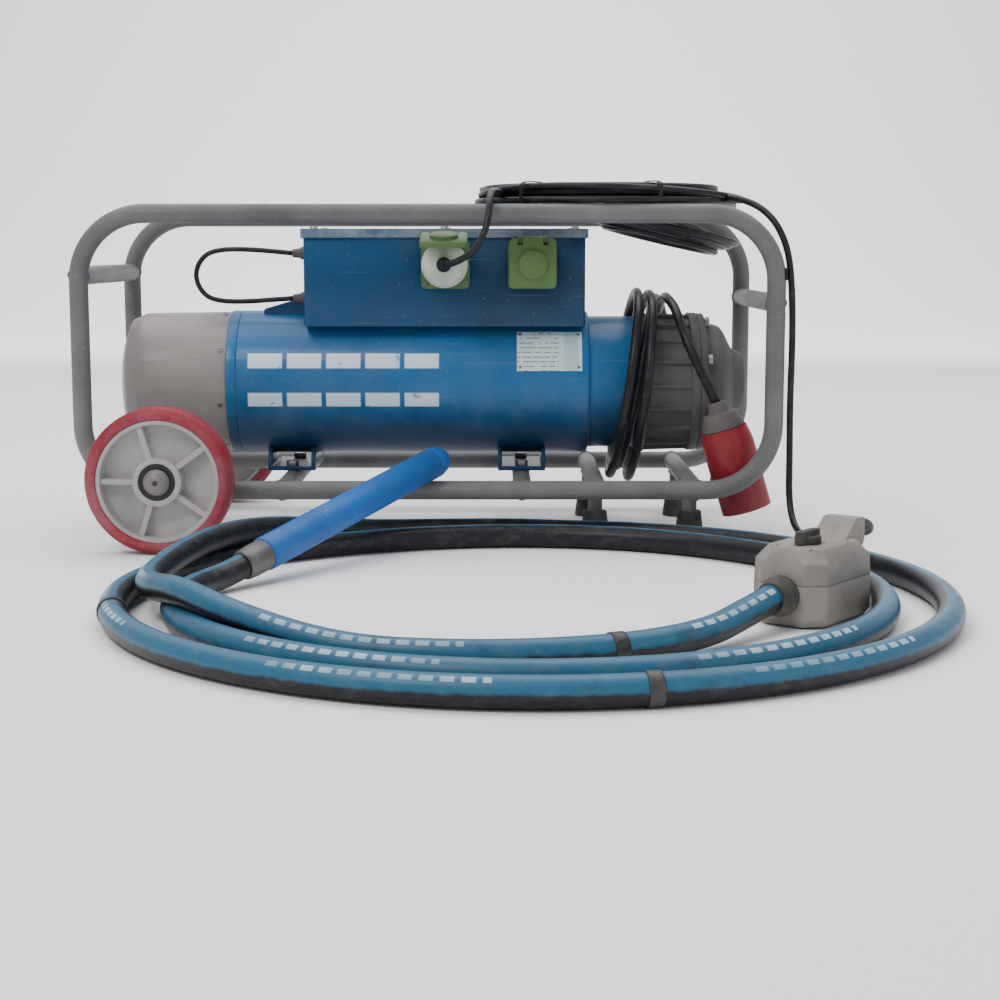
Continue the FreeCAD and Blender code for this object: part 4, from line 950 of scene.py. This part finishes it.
SLOTS = {row["node"]: row["material_slot"] for row in frame["record"]["subparts"]}
SOFTENED = {
    "terminal_box": 0.0012, "box_lid": 0.0018, "housing_feet": 0.0012, "stator_housing": 0.0012,
    "fan_end_shield": 0.001, "generator_casting": 0.0014, "end_bell": 0.0016, "hex_bolts": 0.0007,
    "socket_bodies": 0.0009, "socket_lid_left": 0.0012, "socket_lid_right": 0.0012,
    "hf_plug": 0.0012, "mains_plug_grip": 0.0012,
    "switch_box_base": 0.002, "switch_box_cover": 0.002, "switch_lever": 0.0015,
    "poker_collar": 0.0008, "poker_casing": 0.0006, "poker_tip": 0.001,
    "wheel_front_hub": 0.0014, "wheel_rear_hub": 0.0014, "axle_retainers": 0.0006,
    "rubber_feet": 0.0015, "frame_legs": 0.0008, "cable_glands": 0.0006, "switch_glands": 0.0008,
    "fan_cover": 0.0008, "wheel_front_tyre": 0.002, "wheel_rear_tyre": 0.002,
}
shells = {}
for node, width in SOFTENED.items():
    shells[node] = softened(node, width)
    shells[node].data.materials.clear()
    shells[node].data.materials.append(FINISHES[SLOTS[node]])
for node, item in frame["nodes"].items():
    for slot in item.material_slots:
        slot.material = FINISHES[SLOTS[node]]
shells["axle_retainers"].data.materials[0] = HUB_CAP

# ---------------------------------------------------- small repeated hardware


def new_geometry_group(name, inputs):
    """An empty geometry group from points to a mesh; inputs are (name, kind, default)."""
    tree = bpy.data.node_groups.new(name, "GeometryNodeTree")
    tree.interface.new_socket("Geometry", in_out="INPUT", socket_type="NodeSocketGeometry")
    for label, kind, default in inputs:
        socket = tree.interface.new_socket(label, in_out="INPUT", socket_type=kind)
        if default is not None:
            socket.default_value = default
    tree.interface.new_socket("Geometry", in_out="OUTPUT", socket_type="NodeSocketGeometry")
    graph = Graph(tree)
    return graph, graph.node("NodeGroupInput").outputs, graph.node("NodeGroupOutput").inputs


def random_number(graph, low, high, seed):
    item = graph.node("FunctionNodeRandomValue", data_type="FLOAT")
    shown = {socket.name: socket for socket in item.inputs if socket.enabled}
    for label, value in (("Min", low), ("Max", high), ("Seed", seed)):
        graph.feed(shown[label], value)
    return next(socket for socket in item.outputs if socket.enabled)


def in_material(graph, geometry, material):
    item = graph.node("GeometryNodeSetMaterial")
    graph.feed(item.inputs["Geometry"], geometry)
    graph.feed(item.inputs["Material"], material)
    return item.outputs[0]


def group_weld_beads():
    """Uneven overlapping beads, one at each point."""
    graph, given, result = new_geometry_group("weld_beads", [
        ("Size", NUMBER, 0.002),
        ("Unevenness", NUMBER, 0.2),
        ("Seed", "NodeSocketInt", 3),
        ("Material", "NodeSocketMaterial", None),
    ])
    bead = graph.node("GeometryNodeMeshUVSphere")
    bead.inputs["Segments"].default_value = 8
    bead.inputs["Rings"].default_value = 5
    graph.feed(bead.inputs["Radius"], given["Size"])
    smallest = graph.math("SUBTRACT", 1, given["Unevenness"])
    largest = graph.math("ADD", 1, given["Unevenness"])
    spread = graph.node("GeometryNodeInstanceOnPoints")
    graph.feed(spread.inputs["Points"], given["Geometry"])
    graph.feed(spread.inputs["Instance"], bead.outputs["Mesh"])
    graph.feed(spread.inputs["Scale"], random_number(graph, smallest, largest, given["Seed"]))
    real = graph.node("GeometryNodeRealizeInstances")
    graph.feed(real.inputs[0], spread.outputs[0])
    graph.feed(result[0], in_material(graph, real.outputs[0], given["Material"]))
    return graph.tree


def group_screws():
    """Pan-headed screws with a six-sided recess drawn as a near-black disc of painted shade, each turned
    at random and facing its own way.
    """
    graph, given, result = new_geometry_group("screws", [
        ("Radius", NUMBER, 0.004),
        ("Height", NUMBER, 0.002),
        ("Seed", "NodeSocketInt", 7),
        ("Material", "NodeSocketMaterial", None),
        ("Recess", "NodeSocketMaterial", None),
    ])
    head = graph.node("GeometryNodeMeshCone")
    head.inputs["Vertices"].default_value = 16
    graph.feed(head.inputs["Radius Top"], graph.times(given["Radius"], 0.72))
    graph.feed(head.inputs["Radius Bottom"], given["Radius"])
    graph.feed(head.inputs["Depth"], given["Height"])
    # The recess is a thin hex disc on the head in the Recess material, painted shade in place of a
    # hollow.
    recess = graph.node("GeometryNodeMeshCylinder")
    recess.inputs["Vertices"].default_value = 6
    graph.feed(recess.inputs["Radius"], graph.times(given["Radius"], 0.42))
    graph.feed(recess.inputs["Depth"], graph.times(given["Height"], 0.1))
    lift = graph.node("ShaderNodeCombineXYZ")
    graph.feed(lift.inputs[2], given["Height"])
    raised = graph.node("GeometryNodeTransform")
    graph.feed(raised.inputs["Geometry"], recess.outputs["Mesh"])
    graph.feed(raised.inputs["Translation"], lift.outputs[0])
    whole = graph.node("GeometryNodeJoinGeometry")
    graph.feed(whole.inputs[0], in_material(graph, head.outputs["Mesh"], given["Material"]))
    graph.feed(whole.inputs[0], in_material(graph, raised.outputs[0], given["Recess"]))
    way = graph.node("GeometryNodeInputNamedAttribute", data_type="FLOAT_VECTOR")
    way.inputs["Name"].default_value = "way"
    facing = graph.node("FunctionNodeAlignRotationToVector", axis="Z")
    graph.feed(facing.inputs["Vector"], way.outputs[0])
    spin = graph.node("FunctionNodeAxisAngleToRotation")
    spin.inputs["Axis"].default_value = (0, 0, 1)
    graph.feed(spin.inputs["Angle"], random_number(graph, 0, 2 * math.pi, given["Seed"]))
    turn = graph.node("FunctionNodeRotateRotation", rotation_space="LOCAL")
    graph.feed(turn.inputs[0], facing.outputs[0])
    graph.feed(turn.inputs[1], spin.outputs[0])
    spread = graph.node("GeometryNodeInstanceOnPoints")
    graph.feed(spread.inputs["Points"], given["Geometry"])
    graph.feed(spread.inputs["Instance"], whole.outputs[0])
    graph.feed(spread.inputs["Rotation"], turn.outputs[0])
    real = graph.node("GeometryNodeRealizeInstances")
    graph.feed(real.inputs[0], spread.outputs[0])
    graph.feed(result[0], real.outputs[0])
    return graph.tree


WELDS = group_weld_beads()
SCREWS = group_screws()


def grown(name, spots, tree, slot, **values):
    """Grow one piece from (place, way) spots with a geometry group, as a plain mesh."""
    seeds = bpy.data.meshes.new(name)
    seeds.from_pydata([tuple(spot) for spot, _ in spots], [], [])
    ways = seeds.attributes.new("way", "FLOAT_VECTOR", "POINT")
    for item, (_, way) in zip(ways.data, spots):
        item.vector = way
    piece = bpy.data.objects.new(name, seeds)
    bpy.context.scene.collection.objects.link(piece)
    modifier = piece.modifiers.new("grow", "NODES")
    modifier.node_group = tree
    values = {"Material": FINISHES[slot], **values}
    for socket in tree.interface.items_tree:
        if socket.in_out == "INPUT" and socket.name in values:
            modifier[socket.identifier] = values[socket.name]
    bpy.context.view_layer.update()
    result = bpy.data.meshes.new_from_object(piece.evaluated_get(bpy.context.evaluated_depsgraph_get()))
    piece.modifiers.clear()
    piece.data = result
    result.name = name
    return on_machine(piece)


TUBE_RADIUS = 0.0125
LEG_RADIUS = 0.010
BEAD_STEP = 0.0030
SADDLE_LONGER = 1.15


def saddle(centre, along, loop_along, radius=TUBE_RADIUS):
    """Points of the seam where a tube, running along one way, meets a tube that runs another way."""
    along, loop_along = Vector(along), Vector(loop_along)
    third = along.cross(loop_along)
    count = round(2 * math.pi * radius * SADDLE_LONGER / BEAD_STEP)
    spots = []
    for number in range(count):
        turn = 2 * math.pi * number / count
        beside = radius * math.sin(turn)
        out = math.sqrt(max(0.0, TUBE_RADIUS ** 2 - beside ** 2))
        spots.append((Vector(centre) + along * out + loop_along * radius * math.cos(turn)
                      + third * beside, along))
    return spots


LOOP_FRONT, LOOP_REAR = (
    (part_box(node)[0][1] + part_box(node)[1][1]) / 2 for node in ("frame_loop_front", "frame_loop_rear"))
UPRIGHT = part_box("frame_loop_front")[1][0] - TUBE_RADIUS
LOW_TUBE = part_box("frame_loop_front")[0][2] + TUBE_RADIUS
HIGH_TIES = ((-UPRIGHT, 0.356), (UPRIGHT, 0.320))
CONVERTER_BARS = (-0.195, 0.125)
LEG_BARS = (0.226, 0.356)
LEGS_APART = 0.190
seams = []
for y, inward in ((LOOP_FRONT, 1), (LOOP_REAR, -1)):
    for x, z in HIGH_TIES:
        seams += saddle((x, y, z), (0, inward, 0), (0, 0, 1))
    for x in CONVERTER_BARS + LEG_BARS:
        seams += saddle((x, y, LOW_TUBE), (0, inward, 0), (1, 0, 0))
for y in (MACHINE_MIDDLE - LEGS_APART / 2, MACHINE_MIDDLE + LEGS_APART / 2):
    for x in LEG_BARS:
        seams += saddle((x, y, LOW_TUBE), (0, 0, -1), (0, 1, 0), LEG_RADIUS)
grown("weld_seams", seams, WELDS, "frame_paint", Size=0.0021, Unevenness=0.25, Seed=3)


def round_axis(x, radius, degrees):
    """Spots on the converter's skin at angles from its horizontal."""
    spots = []
    for angle in degrees:
        way = Vector((0, math.cos(math.radians(angle)), math.sin(math.radians(angle))))
        spots.append((Vector((x, MACHINE_MIDDLE, AXIS_HEIGHT)) + way * radius, way))
    return spots


COVER_SEAM_X, COVER_SKIN = -0.288, 0.0976
cover_screws = round_axis(COVER_SEAM_X, COVER_SKIN, range(15, 375, 45))
grown("cover_screws", cover_screws, SCREWS, "zinc_steel", Radius=0.0042, Height=0.0022, Recess=RECESS_SHADE)
PLATE_ENDS, PLATE_SKIN, PLATE_ANGLES = (0.1225, 0.2025), 0.1012, (137, 165)
plate_rivets = [spot for x in PLATE_ENDS for spot in round_axis(x, PLATE_SKIN, PLATE_ANGLES)]
grown("plate_rivets", plate_rivets, SCREWS, "zinc_steel", Radius=0.0022, Height=0.0010, Recess=RECESS_SHADE)
SOCKETS_X, SOCKETS_HEIGHT, SOCKET_FACE_Y, SOCKET_PITCH = (0.021, 0.139), 0.370, 0.0131, 0.053
FORWARD, UP = Vector((0, -1, 0)), Vector((0, 0, 1))
socket_screws = [(Vector((x + side * SOCKET_PITCH / 2, SOCKET_FACE_Y,
                          SOCKETS_HEIGHT + rise * SOCKET_PITCH / 2)), FORWARD)
                 for x in SOCKETS_X for side in (-1, 1) for rise in (-1, 1)]
grown("socket_screws", socket_screws, SCREWS, "zinc_steel", Radius=0.0034, Height=0.0016, Recess=RECESS_SHADE)
SWITCH_AT = Vector((0.428, -0.553, 0))
SWITCH_TURN = Matrix.Rotation(math.radians(52), 3, "Z")
SWITCH_TOP = 0.0819
switch_screws = [(SWITCH_AT + SWITCH_TURN @ Vector((x, y, SWITCH_TOP)), UP)
                 for x, y in ((-0.046, -0.020), (-0.046, 0.020), (0.024, -0.025), (0.024, 0.025))]
grown("switch_screws", switch_screws, SCREWS, "zinc_steel", Radius=0.0040, Height=0.0018, Recess=RECESS_SHADE)
AXLE_X, AXLE_HEIGHT = -0.344, 0.095
cap_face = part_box("axle_retainers")[0][1]
grown("axle_cap_recess", [(Vector((AXLE_X, cap_face + 0.0002, AXLE_HEIGHT)), FORWARD)], SCREWS,
      "zinc_steel", Radius=0.0095, Height=0.0016, Material=HUB_CAP, Recess=RECESS_SHADE)

# --------------------------------------------------------- straps and sleeves


STRAP_STEPS = 40


def strap(name, centre, ring_way, half_wide, half_high, wide, thick, start=0, turn=360, fullness=1):
    """Flat strap drawn tight round a bundle: a ring with full corners, its axis along ring_way."""
    axis = Vector(ring_way).normalized()
    side = axis.cross(Vector((0, 0, 1)))
    side = side.normalized() if side.length > 0.1 else Vector((1, 0, 0))
    rise = side.cross(axis).normalized()
    closed = turn == 360
    mesh = bmesh.new()
    rows = []
    for number in range(STRAP_STEPS + (0 if closed else 1)):
        angle = math.radians(start + turn * number / STRAP_STEPS)
        beside = math.copysign(abs(math.cos(angle)) ** fullness, math.cos(angle))
        above = math.copysign(abs(math.sin(angle)) ** fullness, math.sin(angle))
        row = []
        for across, out in ((-1, 0), (1, 0), (1, 1), (-1, 1)):
            spot = (Vector(centre) + side * (half_wide + out * thick) * beside
                    + rise * (half_high + out * thick) * above + axis * across * wide / 2)
            row.append(mesh.verts.new(spot))
        rows.append(row)
    pairs = list(zip(rows, rows[1:])) + ([(rows[-1], rows[0])] if closed else [])
    for row, following in pairs:
        for corner in range(4):
            beyond = (corner + 1) % 4
            mesh.faces.new((row[corner], row[beyond], following[beyond], following[corner]))
    if not closed:
        mesh.faces.new(rows[0])
        mesh.faces.new(reversed(rows[-1]))
    bmesh.ops.recalc_face_normals(mesh, faces=mesh.faces)
    return on_machine(finished(name, mesh, TAPE))


BUNDLE_RADIUS, BUNDLE_HEIGHT = 0.158, 0.4645
BUNDLE_HALF_WIDE, BUNDLE_HALF_HIGH = 0.0255, 0.0142
for number, angle in enumerate((232, 292, 100)):
    turn = math.radians(angle)
    around = Vector((-math.sin(turn), math.cos(turn), 0))
    middle = Vector((COIL_X + BUNDLE_RADIUS * math.cos(turn),
                     MACHINE_MIDDLE + BUNDLE_RADIUS * math.sin(turn), BUNDLE_HEIGHT))
    strap(f"coil_tie_{number}", middle, around, BUNDLE_HALF_WIDE, BUNDLE_HALF_HIGH,
                           0.0055, TAPE_THICK, fullness=0.5)
strap("upright_tape", (UPRIGHT, LOOP_FRONT, 0.358), (0, 0, 1), TUBE_RADIUS + 0.0001,
      TUBE_RADIUS + 0.0001, 0.016, 0.0018, start=-80, turn=115)

# ------------------------------------------------------------ hose ties and cord sleeves


HOSE_TIE_WIDTH = 0.014
HOSE_TIES_AT = (2.73, 3.43, line_length(hose_line) - 0.23)
ties = [band(f"hose_tie_{number}", hose_line, at, HOSE_TIE_WIDTH, HOSE_DIAMETER / 2 + TAPE_THICK)
        for number, at in enumerate(HOSE_TIES_AT)]
cable_sleeve = strain_relief("cable_sleeve", cable_line, 0.036, 0.0085, 0.0052)
mains_sleeve = strain_relief("mains_sleeve", mains_line, 0.030, 0.0095, 0.0072)
plug_sleeve = strain_relief("plug_sleeve", cable_line[::-1], 0.030, 0.0100, 0.0056)
